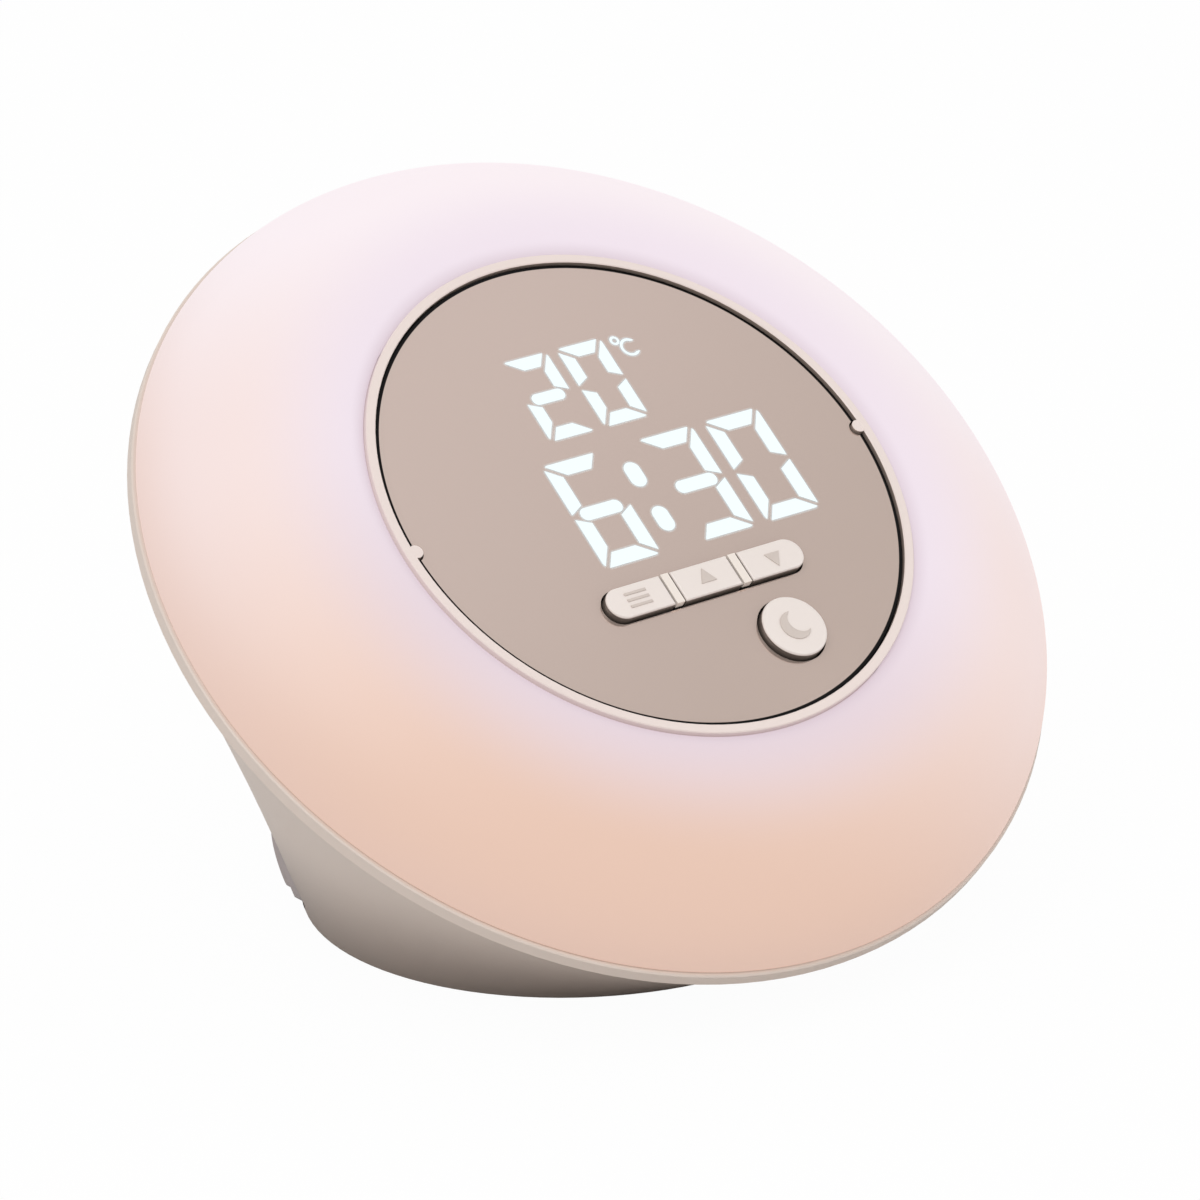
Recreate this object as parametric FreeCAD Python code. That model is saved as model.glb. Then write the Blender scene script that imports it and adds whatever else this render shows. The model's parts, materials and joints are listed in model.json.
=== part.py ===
"""Sunrise alarm clock: a tilted glowing ring round a mirrored display, on a tapered body.

Row frame: origin at the middle of the foot pad's underside, +Z up, the face looks
towards -Y and leans back, +X is to the viewer's right. Millimetres.

Face frame: origin at the middle of the bezel's top plane, x to the right, y up the
face, z out of the face. Everything on the tilted disc is drawn there and then placed.
"""
import FreeCAD, Part
import math
import os

from FreeCAD import Placement, Rotation, Vector

# Driving dimensions of the whole clock
face_lean = 39.0            # degrees that the face normal leans forward from vertical
face_height = 75.2          # middle of the face above the table
face_forward = 20.3         # middle of the face in front of the middle of the base
base_radius = 46.4
base_edge_height = 0.8      # bottom edge of the shell above the table
shell_wall = 2.0
play = 0.15                 # general gap between fixed pieces

# Mirror, gasket and bezel ring
bezel_inner_radius = 45.0
bezel_width = 1.6
bezel_plate = 1.5
bezel_skirt_depth = 4.1
bezel_skirt_wall = 0.6
bezel_edge = 0.15
tab_radius = 1.15
tab_offset = 44.6
tab_gap = 0.28
mirror_drop = 0.7
mirror_thickness = 1.5
mirror_edge_gap = 0.25
gasket_thickness = 0.6
gasket_width = 1.8

# Diffuser dome
dome_edge_radius = 78.1
dome_edge_drop = 19.0
dome_start_drop = 0.9
dome_wall = 1.8
dome_edge_chamfer = 0.3
dome_rise_out = 6.6         # how far the inner slope handle reaches outwards
dome_rise_up = 5.2          # and upwards
dome_fall_in = 1.1          # how far the outer slope handle leans inwards
dome_fall_up = 12.5         # and upwards
dome_flange_depth = 5.2
dome_skirt_depth = 2.4
dome_skirt_wall = 1.45
dome_ledge = 1.85           # skirt's outer face inside the dome's edge

# Rear shell
rim_ledge = 0.6             # rim beyond the dome's edge
rim_height = 2.6
rim_edge = 0.25
neck_inset = 3.2            # body's top circle inside the rim
neck_drop = 25.0            # of the body's top circle below the face plane
neck_sweep = 1.5            # radius of the hollow under the lip

# Reflector tray
hub_shelf_height = 1.9
hub_foot_wall = 1.2
tray_floor_drop = 21.7
tray_floor = 1.8
tray_lip_height = 5.2
tray_lip_wall = 1.2
tray_lip_slope = 1.8        # how far the lip's inner side leans
tray_screw_inset = 5.05
tray_screw_angles = (25.0, 90.0, 155.0, 205.0, 270.0, 335.0)
tray_boss_radius = 3.0

# Light ring
ring_board_hub_gap = 3.4
ring_board_screw_gap = 2.7  # to the middle of the tray screws
ring_board_thickness = 1.2
led_count = 24
led_size = 3.5
led_width = 2.8
led_height = 1.4

# Display module
digit_gap = 0.75
time_digit_width = 11.0
time_digit_height = 20.4
time_digit_stroke = 2.6
time_digit_pitch = 13.5
time_digit_bottom = -11.8
first_digit_left = -28.4
colon_width = 3.0
colon_height = 4.8
colon_x = 0.2
colon_spread = 4.45         # each dot's centre above and below the digits' middle
degree_digit_width = 8.9
degree_digit_height = 16.0
degree_digit_stroke = 2.3
digit_corner = 0.45         # outer corner radius as a share of the stroke
digit_mitres = (54.0, -38.0)
degree_digit_pitch = 10.9
degree_digit_left = -10.6
degree_digit_bottom = 12.5
unit_x = 13.5
unit_y = 25.5
unit_size = 1.75
segment_depth = 1.0
housing_half_width = 33.0
housing_margin = 1.0        # housing beyond the digits, above and below
housing_gap = 0.6           # to the hub
housing_depth = 7.2

# Front board and its switches
front_board_gap = 0.45      # to the hub
front_board_thickness = 1.6
board_screw_inset = 3.9
board_screw_angles = (90.0, 214.0, 326.0)
board_boss_radius = 2.6
switch_size = 6.0
switch_height = 3.5
plunger_radius = 1.7
plunger_fit = 0.05
plunger_height = 0.9
plunger_depth = 0.8

# Keys
key_top_height = 1.45       # key tops above the mirror
key_strip_length = 38.9
key_strip_width = 5.6
key_strip_y = -18.85
rib_x = 6.75
rib_width = 1.5
rib_drop = 0.12             # rib tops below the key tops
key_gap = 0.35
key_edge = 0.35
key_travel = 0.5
key_flange_thickness = 0.8
key_flange_reach = 0.6
key_flange_gap = 0.08
round_key_x = 9.8
round_key_y = -31.3
round_key_radius = 5.55
key_frame_thickness = 1.2
key_frame_post_radius = 2.0
key_frame_posts = ((-26.0, -19.5), (26.0, -19.5), (-7.0, -31.0))

# Main board
main_board_length = 98.0
main_board_width = 36.0
main_board_thickness = 1.6
main_board_standoff = 3.5
main_board_post_inset = 3.6
standoff_radius = 2.4
cell_radius = 10.0
cell_thickness = 3.2
cell_x = 28.0
header_length = 20.0
header_width = 2.6
chip_size = 10.0
chip_height = 1.2
holder_wall = 1.5
holder_floor = 0.8

# Screws
screw_radius = 1.0
screw_head_radius = 1.9
screw_head_height = 1.3
screw_grip = 4.0

# Base
base_cover_thickness = 2.0
base_cover_gap = 0.25
foot_radius = 33.0
foot_thickness = 1.3
base_screw_inset = 8.0
base_screw_angles = (10.0, 170.0, 236.0, 304.0)
base_screw_head_radius = 2.4
base_boss_radius = 3.4
base_boss_height = 11.0
base_rib_width = 1.6

# Rear panel
panel_end_inset = 0.6       # panel's ends inside the base's radius
panel_height = 12.8
panel_centre_height = 8.7
panel_gap = 0.9
panel_proud = 1.5
panel_edge_proud = 0.8      # the panel's border stands this proud
panel_border = 1.1
panel_flange = 1.2          # flange behind the shell's wall
panel_flange_reach = 1.5
panel_front = 12.0          # the panel lies behind this distance from the middle
plug_recess_width = 13.0
plug_recess_height = 7.0
plug_recess_depth = 2.2
socket_width = 8.9
socket_height = 3.2
socket_length = 7.4
socket_wall = 0.35
tongue_thickness = 0.7
vent_count = 6
vent_width = 1.2
vent_height = 6.0
vent_pitch = 3.2
vent_x = 13.0
socket_board_width = 20.0
socket_board_length = 15.0
socket_board_thickness = 1.2
socket_post_radius = 1.9

# Speaker
speaker_height = 50.0
speaker_radius = 18.0
speaker_flange = 42.0
speaker_flange_thickness = 1.2
speaker_setback = 7.6       # front plane inside the base's radius
speaker_screw_offset = 17.6
speaker_boss_radius = 2.6
speaker_depth = 15.0
magnet_radius = 11.0
magnet_thickness = 5.0
cone_wall = 0.5
grille_radius = 17.0
grille_slot_width = 1.8
grille_pitch = 3.6

# Leads
lead_radius = 1.2
ring_lead_angle = 232.0
lead_slack = 14.4           # how far a lead hangs below the main board

# Places that follow from the sizes above
rim_radius = dome_edge_radius + rim_ledge
neck_radius = rim_radius - neck_inset
bezel_outer_radius = bezel_inner_radius + bezel_width
mirror_top = -mirror_drop
mirror_back = mirror_top - mirror_thickness
gasket_back = mirror_back - gasket_thickness
hub_inner_radius = bezel_inner_radius - mirror_edge_gap - gasket_width
hub_outer_radius = bezel_outer_radius - bezel_skirt_wall - play / 2
dome_inner_radius = bezel_outer_radius + play
shelf_top = -(dome_start_drop + dome_flange_depth)
tray_floor_top = -tray_floor_drop
tray_floor_back = tray_floor_top - tray_floor
tray_radius = neck_radius - shell_wall - play
tray_screw_radius = tray_radius - tray_screw_inset
ring_board_inner = hub_outer_radius + hub_foot_wall + ring_board_hub_gap
ring_board_outer = tray_screw_radius - ring_board_screw_gap
led_circle = (ring_board_inner + ring_board_outer) / 2
housing_radius = hub_inner_radius - housing_gap
front_board_radius = hub_inner_radius - front_board_gap
board_screw_circle = front_board_radius - board_screw_inset
main_board_post_x = main_board_length / 2 - main_board_post_inset
main_board_post_y = main_board_width / 2 - main_board_post_inset
base_screw_circle = base_radius - base_screw_inset
panel_half_width = base_radius - panel_end_inset
speaker_front = base_radius - speaker_setback
key_top = mirror_top + key_top_height
key_frame_top = mirror_back - play
key_frame_back = key_frame_top - key_frame_thickness
housing_front = mirror_back - play
front_board_top = housing_front - housing_depth
front_board_back = front_board_top - front_board_thickness
switch_top = front_board_top + switch_height
plunger_top = switch_top + plunger_height
key_flange_top = key_frame_back - key_flange_gap
main_board_top = tray_floor_back - main_board_standoff
main_board_back = main_board_top - main_board_thickness
base_cover_top = base_edge_height + base_cover_thickness
time_digit_middle = time_digit_bottom + time_digit_height / 2

face_placement = Placement(Vector(0, -face_forward, face_height), Rotation(Vector(1, 0, 0), face_lean))
z_axis = Vector(0, 0, 1)
parts = {}


def add(name, shape, in_face_frame=False):
    """Keep a finished piece, moving it out of the face frame when it was drawn there."""
    solids = shape.Solids
    shape = solids[0].copy() if len(solids) == 1 else Part.makeCompound(solids)
    if in_face_frame:
        shape = shape.copy()
        shape.transformShape(face_placement.toMatrix())
    parts[name] = shape


def polar(radius, angle):
    """Point on a circle round the origin."""
    return radius * math.cos(math.radians(angle)), radius * math.sin(math.radians(angle))


def disc(radius, low, high, x=0.0, y=0.0):
    """Upright cylinder between two heights."""
    return Part.makeCylinder(radius, high - low, Vector(x, y, low))


def ring(inner, outer, low, high, x=0.0, y=0.0):
    """Flat ring between two heights."""
    return disc(outer, low, high, x, y).cut(disc(inner, low, high, x, y))


def block(x_range, y_range, z_range):
    """Box from three ranges."""
    return Part.makeBox(x_range[1] - x_range[0], y_range[1] - y_range[0], z_range[1] - z_range[0],
                        Vector(x_range[0], y_range[0], z_range[0]))


def prism(points, low, high):
    """Flat outline pushed up from one height to another."""
    corners = [Vector(x, y, low) for x, y in points]
    return Part.Face(Part.makePolygon(corners + corners[:1])).extrude(Vector(0, 0, high - low))


def revolved(points):
    """Solid of revolution from (radius, height) corners."""
    corners = [Vector(r, 0, h) for r, h in points]
    return Part.Face(Part.makePolygon(corners + corners[:1])).revolve(Vector(0, 0, 0), z_axis, 360)


def pill(length, width, low, high, x=0.0, y=0.0):
    """Bar with fully round ends along X."""
    reach = (length - width) / 2
    bar = block((x - reach, x + reach), (y - width / 2, y + width / 2), (low, high))
    return bar.fuse([disc(width / 2, low, high, x - reach, y), disc(width / 2, low, high, x + reach, y)]).removeSplitter()


def upright_pill(length, width, y_range, z):
    """Bar with round ends along X, pushed along Y."""
    shape = pill(length, width, -y_range[1], -y_range[0])
    shape.rotate(Vector(0, 0, 0), Vector(1, 0, 0), 90)
    shape.translate(Vector(0, 0, z))
    return shape


def along_y(radius, y_range, x, z):
    """Cylinder lying along Y."""
    return Part.makeCylinder(radius, y_range[1] - y_range[0], Vector(x, y_range[0], z), Vector(0, 1, 0))


def edges_at_height(shape, height):
    """Edges that lie wholly at one height."""
    found = []
    for edge in shape.Edges:
        box = edge.BoundBox
        if abs(box.ZMin - height) < 0.001 and abs(box.ZMax - height) < 0.001:
            found.append(edge)
    return found


def screw(x, y, head_top, direction):
    """Pan-head screw along the z axis, with its head's outer face at head_top."""
    head = disc(screw_head_radius, 0, screw_head_height)
    head = head.makeChamfer(screw_head_height * 0.35, edges_at_height(head, screw_head_height))
    shape = head.fuse(disc(screw_radius, -screw_grip, 0)).removeSplitter()
    shape.translate(Vector(0, 0, -screw_head_height))
    if direction < 0:
        shape.rotate(Vector(0, 0, 0), Vector(1, 0, 0), 180)
    shape.translate(Vector(x, y, head_top))
    return shape


def body_taper(offset):
    """The body's tapered form from the tilted neck circle to the level base circle."""
    neck_centre = face_placement.multVec(Vector(0, 0, -neck_drop))
    neck_axis = face_placement.Rotation.multVec(z_axis)
    neck = Part.Wire([Part.Edge(Part.Circle(neck_centre, neck_axis, neck_radius + offset))])
    base = Part.Wire([Part.Edge(Part.Circle(Vector(0, 0, base_edge_height), z_axis, base_radius + offset))])
    return Part.makeLoft([base, neck], True, True)


def make_bezel_ring():
    """Flat trim ring with a skirt and two small tabs that point inwards."""
    skirt_inner = bezel_outer_radius - bezel_skirt_wall
    body = revolved([
        (bezel_inner_radius, -bezel_plate), (bezel_inner_radius, -bezel_edge),
        (bezel_inner_radius + bezel_edge, 0), (bezel_outer_radius - bezel_edge, 0),
        (bezel_outer_radius, -bezel_edge), (bezel_outer_radius, -bezel_plate - bezel_skirt_depth),
        (skirt_inner, -bezel_plate - bezel_skirt_depth), (skirt_inner, -bezel_plate)])
    keep = disc(bezel_inner_radius + bezel_edge, -bezel_plate, 0)
    for side in (-1, 1):
        tab = disc(tab_radius, -bezel_plate, -bezel_edge / 2, side * tab_offset)
        body = body.fuse(tab.common(keep))
    add("bezel_ring", body.removeSplitter(), True)


def make_mirror_panel():
    """Half-mirror with notches for the tabs and openings for the keys."""
    body = disc(bezel_inner_radius - mirror_edge_gap, mirror_back, mirror_top)
    for side in (-1, 1):
        body = body.cut(disc(tab_radius + tab_gap, mirror_back, mirror_top, side * tab_offset))
    body = body.cut(pill(key_strip_length + 2 * key_gap, key_strip_width + 2 * key_gap,
                         mirror_back, mirror_top, 0, key_strip_y))
    body = body.cut(disc(round_key_radius + key_gap, mirror_back, mirror_top, round_key_x, round_key_y))
    add("mirror_panel", body, True)
    add("mirror_gasket", ring(hub_inner_radius + play, bezel_inner_radius - mirror_edge_gap,
                              gasket_back, mirror_back), True)


def dome_outline():
    """Wire of the dome's wall in the radius-height plane: two smooth crowns and two feet."""
    start = Vector(dome_inner_radius, 0, -dome_start_drop)
    chamfer_top = Vector(dome_edge_radius, 0, -dome_edge_drop + dome_edge_chamfer)
    chamfer_low = Vector(dome_edge_radius - dome_edge_chamfer, 0, -dome_edge_drop)
    skirt_outer = dome_edge_radius - dome_ledge
    skirt_inner = skirt_outer - dome_skirt_wall
    skirt_low = -dome_edge_drop - dome_skirt_depth
    flange_outer = dome_inner_radius + dome_wall
    inner_start = Vector(flange_outer, 0, -dome_start_drop - dome_wall)
    outer = Part.BezierCurve()
    outer.setPoles([start, start + Vector(dome_rise_out, 0, dome_rise_up),
                    chamfer_top + Vector(-dome_fall_in, 0, dome_fall_up), chamfer_top])
    inner_end = Vector(skirt_inner, 0, -dome_edge_drop)
    inner = Part.BezierCurve()
    inner.setPoles([inner_end, inner_end + Vector(-dome_fall_in, 0, dome_fall_up - dome_wall),
                    inner_start + Vector(dome_rise_out, 0, dome_rise_up - dome_wall / 2), inner_start])
    corners = [chamfer_top, chamfer_low, Vector(skirt_outer, 0, -dome_edge_drop),
               Vector(skirt_outer, 0, skirt_low), Vector(skirt_inner, 0, skirt_low), inner_end]
    flange = [inner_start, Vector(flange_outer, 0, shelf_top), Vector(dome_inner_radius, 0, shelf_top), start]
    edges = [outer.toShape()]
    edges += [Part.LineSegment(a, b).toShape() for a, b in zip(corners, corners[1:])]
    edges.append(inner.toShape())
    edges += [Part.LineSegment(a, b).toShape() for a, b in zip(flange, flange[1:])]
    return Part.Wire(edges), skirt_outer, skirt_low


def make_diffuser_dome():
    """Puffy translucent ring between the bezel and the rim."""
    wire, skirt_outer, skirt_low = dome_outline()
    add("diffuser_dome", Part.Face(wire).revolve(Vector(0, 0, 0), z_axis, 360), True)
    return skirt_outer, skirt_low


def upright_slot(width, height, y_range, x, z):
    """Upright bar with round ends, pushed along Y."""
    slot = upright_pill(height, width, y_range, 0)
    slot.rotate(Vector(0, 0, 0), Vector(0, 1, 0), 90)
    slot.translate(Vector(x, 0, z))
    return slot


def grille_slots():
    """Speaker slots: upright bars that fill a round field."""
    count = int(grille_radius / grille_pitch)
    slots = []
    for step in range(-count, count + 1):
        x = step * grille_pitch
        height = 2 * math.sqrt(grille_radius ** 2 - x ** 2)
        slots.append(upright_slot(grille_slot_width, height, (speaker_front, 2 * base_radius), x, speaker_height))
    return slots


def make_rear_shell(skirt_outer, skirt_low):
    """Rim lip, hollow neck and tapered body with bosses, ribs, panel window and grille."""
    outer = body_taper(0)
    inner = body_taper(-shell_wall)
    seat_radius = skirt_outer + play / 2
    seat_low = skirt_low - play / 2
    inner_neck = neck_radius - shell_wall
    lip_low = -dome_edge_drop - rim_height
    start = Vector(seat_radius, 0, -dome_edge_drop)
    lip = [start, Vector(rim_radius - rim_edge, 0, -dome_edge_drop), Vector(rim_radius, 0, -dome_edge_drop - rim_edge),
           Vector(rim_radius, 0, lip_low + rim_edge), Vector(rim_radius - rim_edge, 0, lip_low),
           Vector(neck_radius + neck_sweep, 0, lip_low)]
    hollow_end = Vector(neck_radius, 0, -neck_drop)
    hollow_middle = Vector(neck_radius + neck_sweep * 0.3, 0, lip_low - (neck_drop + lip_low) * 0.3)
    neck = [hollow_end, Vector(inner_neck, 0, -neck_drop), Vector(inner_neck, 0, seat_low),
            Vector(seat_radius, 0, seat_low), start]
    edges = [Part.LineSegment(a, b).toShape() for a, b in zip(lip, lip[1:])]
    edges.append(Part.Arc(lip[-1], hollow_middle, hollow_end).toShape())
    edges += [Part.LineSegment(a, b).toShape() for a, b in zip(neck, neck[1:])]
    rim = Part.Face(Part.Wire(edges)).revolve(Vector(0, 0, 0), z_axis, 360)
    rim.transformShape(face_placement.toMatrix())
    extras = []
    for angle in tray_screw_angles:
        x, y = polar(tray_screw_radius, angle)
        boss = disc(tray_boss_radius, -neck_drop - 3 * base_radius, tray_floor_back, x, y)
        boss = boss.cut(disc(screw_radius, tray_floor_back - screw_grip, tray_floor_back, x, y))
        keep = disc(inner_neck + shell_wall / 2, -neck_drop, tray_floor_back)
        boss.transformShape(face_placement.toMatrix())
        keep.transformShape(face_placement.toMatrix())
        extras.append(boss.common(outer.fuse(keep)))
    for angle in base_screw_angles:
        x, y = polar(base_screw_circle, angle)
        boss = disc(base_boss_radius, base_cover_top, base_cover_top + base_boss_height, x, y)
        rib = block((base_screw_circle, base_radius * 1.5), (-base_rib_width / 2, base_rib_width / 2),
                    (base_cover_top, base_cover_top + base_boss_height))
        rib.rotate(Vector(0, 0, 0), z_axis, angle)
        boss = boss.fuse(rib)
        boss = boss.cut(disc(screw_radius, base_cover_top, base_cover_top + screw_grip, x, y))
        extras.append(boss.common(outer))
    for x in (-speaker_screw_offset, speaker_screw_offset):
        for z in (-speaker_screw_offset, speaker_screw_offset):
            boss = along_y(speaker_boss_radius, (speaker_front, base_radius * 1.5), x, speaker_height + z)
            boss = boss.cut(along_y(screw_radius, (speaker_front, speaker_front + screw_grip), x, speaker_height + z))
            extras.append(boss.common(outer))
    shell = outer.cut(inner).fuse([rim] + extras)
    window = upright_pill(2 * (panel_half_width + panel_gap), panel_height + 2 * panel_gap,
                          (panel_front - panel_gap, 2 * base_radius), panel_centre_height)
    shell = shell.cut([window] + grille_slots())
    add("rear_shell", shell.removeSplitter())


def make_reflector_tray():
    """White dish with a hub that carries the mirror, the bezel and the front board."""
    foot_radius_outer = hub_outer_radius + hub_foot_wall
    shelf_outer = dome_inner_radius + dome_wall
    lip_inner = tray_radius - tray_lip_wall
    body = revolved([
        (hub_inner_radius, tray_floor_back), (tray_radius, tray_floor_back),
        (tray_radius, tray_floor_top + tray_lip_height), (lip_inner, tray_floor_top + tray_lip_height),
        (lip_inner - tray_lip_slope, tray_floor_top), (foot_radius_outer, tray_floor_top),
        (foot_radius_outer, shelf_top - hub_shelf_height), (shelf_outer, shelf_top - hub_shelf_height / 2),
        (shelf_outer, shelf_top), (hub_outer_radius, shelf_top), (hub_outer_radius, -bezel_plate),
        (bezel_inner_radius, -bezel_plate), (bezel_inner_radius, gasket_back), (hub_inner_radius, gasket_back)])
    for angle in board_screw_angles:
        x, y = polar(board_screw_circle, angle)
        boss = disc(board_boss_radius, tray_floor_back, front_board_back, x, y)
        web = block((board_screw_circle, hub_inner_radius + hub_foot_wall), (-base_rib_width / 2, base_rib_width / 2),
                    (tray_floor_back, front_board_back))
        web.rotate(Vector(0, 0, 0), z_axis, angle)
        body = body.fuse([boss, web])
        body = body.cut(disc(screw_radius, front_board_back - screw_grip, front_board_back, x, y))
    for x in (-main_board_post_x, main_board_post_x):
        for y in (-main_board_post_y, main_board_post_y):
            body = body.fuse(disc(standoff_radius, main_board_top, tray_floor_back, x, y))
            body = body.cut(disc(screw_radius, main_board_top, main_board_top + screw_grip, x, y))
    for angle in tray_screw_angles:
        x, y = polar(tray_screw_radius, angle)
        body = body.cut(disc(screw_radius + play, tray_floor_back, tray_floor_top, x, y))
    lead_x, lead_y = ring_lead_place()
    body = body.cut(disc(lead_radius + play, tray_floor_back, tray_floor_top, lead_x, lead_y))
    add("reflector_tray", body.removeSplitter(), True)
    screws = [screw(*polar(tray_screw_radius, a), tray_floor_top + screw_head_height, 1) for a in tray_screw_angles]
    add("tray_screws", Part.makeCompound(screws), True)


def ring_lead_place():
    """Where the light ring's lead passes through the tray."""
    return polar((ring_board_inner + ring_board_outer) / 2, ring_lead_angle)


def make_light_ring():
    """Ring-shaped board with a circle of light packages."""
    board_top = tray_floor_top + ring_board_thickness
    add("ring_board", ring(ring_board_inner, ring_board_outer, tray_floor_top, board_top), True)
    packages = []
    for step in range(led_count):
        package = block((led_circle - led_size / 2, led_circle + led_size / 2), (-led_width / 2, led_width / 2),
                        (board_top, board_top + led_height))
        package.rotate(Vector(0, 0, 0), z_axis, step * 360.0 / led_count)
        packages.append(package)
    add("ring_leds", Part.makeCompound(packages), True)


def digit_pieces(left, bottom, width, height, stroke):
    """Seven separate light bars of one digit, keyed a to g in the usual order."""
    low, high = housing_front - segment_depth, housing_front
    right, top = left + width, bottom + height
    centre_x, middle = left + width / 2, bottom + height / 2
    frame = block((left, right), (bottom, top), (low, high))
    uprights = [e for e in frame.Edges if abs(e.BoundBox.ZLength - segment_depth) < 0.01]
    frame = frame.makeFillet(stroke * digit_corner, uprights)
    frame = frame.cut(block((left + stroke, right - stroke), (bottom + stroke, top - stroke), (low, high)))
    wide, narrow = stroke / 2 + digit_gap * 0.6, digit_gap * 0.6
    waist = [(left - stroke, middle - narrow), (left, middle - narrow), (left + stroke, middle - wide),
             (right - stroke, middle - wide), (right, middle - narrow), (right + stroke, middle - narrow)]
    waist += [(x, 2 * middle - y) for x, y in reversed(waist)]
    frame = frame.cut(prism(waist, low, high))
    for side_x, side_y in ((-1, -1), (-1, 1), (1, -1), (1, 1)):
        slot = block((-stroke * 1.5, stroke * 1.5), (-digit_gap / 2, digit_gap / 2), (low, high))
        slot.rotate(Vector(0, 0, 0), z_axis, digit_mitres[0 if side_x == side_y else 1])
        slot.translate(Vector(centre_x + side_x * (width - stroke) / 2, middle + side_y * (height - stroke) / 2, 0))
        frame = frame.cut(slot)
    found = {"g": pill(width - stroke * 1.1, stroke * 0.92, low, high, centre_x, middle)}
    for solid in frame.Solids:
        x, y = solid.CenterOfMass.x - centre_x, solid.CenterOfMass.y - middle
        if abs(x) < width * 0.2:
            found["a" if y > 0 else "d"] = solid
        elif x > 0:
            found["b" if y > 0 else "c"] = solid
        else:
            found["f" if y > 0 else "e"] = solid
    return found


def degree_unit():
    """Small ring and open C beside the temperature."""
    low, high = housing_front - segment_depth, housing_front
    letter = ring(unit_size * 0.72, unit_size, low, high, unit_x, unit_y)
    mouth = block((unit_x + unit_size * 0.35, unit_x + 2 * unit_size), (unit_y - unit_size * 0.6, unit_y + unit_size * 0.6),
                  (low, high))
    dot_x, dot_y = unit_x - unit_size * 1.15, unit_y + unit_size * 1.05
    return [letter.cut(mouth), ring(unit_size * 0.25, unit_size * 0.5, low, high, dot_x, dot_y)]


def make_display():
    """Black housing with the light bars of two temperature and four time digits."""
    shapes = {"0": "abcdef", "2": "abged", "3": "abgcd", "6": "acdefg", " ": ""}
    lit, dark = degree_unit(), []
    places = [(degree_digit_left + i * degree_digit_pitch, degree_digit_bottom, degree_digit_width,
               degree_digit_height, degree_digit_stroke, figure) for i, figure in enumerate("20")]
    time_lefts = [first_digit_left, first_digit_left + time_digit_pitch,
                  colon_x * 2 - first_digit_left - time_digit_pitch - time_digit_width,
                  colon_x * 2 - first_digit_left - time_digit_width]
    for left, figure in zip(time_lefts, " 630"):
        places.append((left, time_digit_bottom, time_digit_width, time_digit_height, time_digit_stroke, figure))
    for left, bottom, width, height, stroke, figure in places:
        for letter, piece in digit_pieces(left, bottom, width, height, stroke).items():
            (lit if letter in shapes[figure] else dark).append(piece)
    for side in (-1, 1):
        dot = pill(colon_height, colon_width, housing_front - segment_depth, housing_front)
        dot.rotate(Vector(0, 0, 0), z_axis, 90)
        dot.translate(Vector(colon_x, time_digit_middle + side * colon_spread, 0))
        lit.append(dot)
    top = degree_digit_bottom + degree_digit_height + housing_margin
    housing = block((-housing_half_width, housing_half_width), (time_digit_bottom - housing_margin, top),
                    (front_board_top, housing_front))
    housing = housing.common(disc(housing_radius, front_board_top, housing_front))
    add("display_housing", housing.cut(lit + dark), True)
    add("lit_segments", Part.makeCompound(lit), True)
    add("dark_segments", Part.makeCompound(dark), True)


def key_spans():
    """Left and right ends of the three bar keys."""
    end = key_strip_length / 2
    inner = rib_x - rib_width / 2 - key_gap
    outer = rib_x + rib_width / 2 + key_gap
    return {"mode": (-end, -outer), "up": (-inner, inner), "down": (outer, end)}


def key_form(name, grow, low, high):
    """Outline of one key, grown sideways, between two heights."""
    if name == "snooze":
        return disc(round_key_radius + grow, low, high, round_key_x, round_key_y)
    left, right = key_spans()[name]
    bar = pill(key_strip_length + 2 * grow, key_strip_width + 2 * grow, low, high, 0, key_strip_y)
    return bar.common(block((left - grow, right + grow), (key_strip_y - key_strip_width, key_strip_y + key_strip_width),
                            (low, high)))


def key_centre(name):
    """Middle of one key on the face."""
    if name == "snooze":
        return round_key_x, round_key_y
    left, right = key_spans()[name]
    return (left + right) / 2, key_strip_y


key_names = ("mode", "up", "down", "snooze")


def make_keys():
    """Four capped keys with flanges and stems, their plungers and switch bodies."""
    switches = []
    for name in key_names:
        x, y = key_centre(name)
        cap = key_form(name, 0, key_flange_top, key_top)
        cap = cap.makeFillet(key_edge, edges_at_height(cap, key_top))
        flange_low = key_flange_top - key_flange_thickness
        flange = key_form(name, key_flange_reach, flange_low, key_flange_top)
        stem = disc(plunger_radius + key_edge, plunger_top, flange_low, x, y)
        title = "snooze_button" if name == "snooze" else name + "_key"
        add(title, cap.fuse([flange, stem]).removeSplitter(), True)
        add(name + "_plunger", disc(plunger_radius, switch_top - plunger_depth, plunger_top, x, y), True)
        body = block((x - switch_size / 2, x + switch_size / 2), (y - switch_size / 2, y + switch_size / 2),
                     (front_board_top, switch_top))
        well = disc(plunger_radius + plunger_fit, switch_top - plunger_depth - 1.5 * key_travel, switch_top, x, y)
        switches.append(body.cut(well))
    add("tact_switches", Part.makeCompound(switches), True)


def make_key_frame():
    """Plate behind the mirror that guides the keys, with two ribs that part the bar keys."""
    top = time_digit_bottom - housing_margin - play
    reach = housing_radius - play
    plate = block((-reach * 0.75, reach * 0.75), (-reach, top), (key_frame_back, key_frame_top))
    plate = plate.common(disc(reach, key_frame_back, key_frame_top))
    plate = plate.cut([key_form(name, key_gap, key_frame_back, key_frame_top) for name in key_names])
    ribs = [block((side * rib_x - rib_width / 2, side * rib_x + rib_width / 2),
                  (key_strip_y - key_strip_width / 2, key_strip_y + key_strip_width / 2),
                  (key_frame_top, key_top - rib_drop)) for side in (-1, 1)]
    posts = [disc(key_frame_post_radius, front_board_top, key_frame_back, x, y) for x, y in key_frame_posts]
    add("key_frame", plate.fuse(ribs + posts).removeSplitter(), True)


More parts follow.
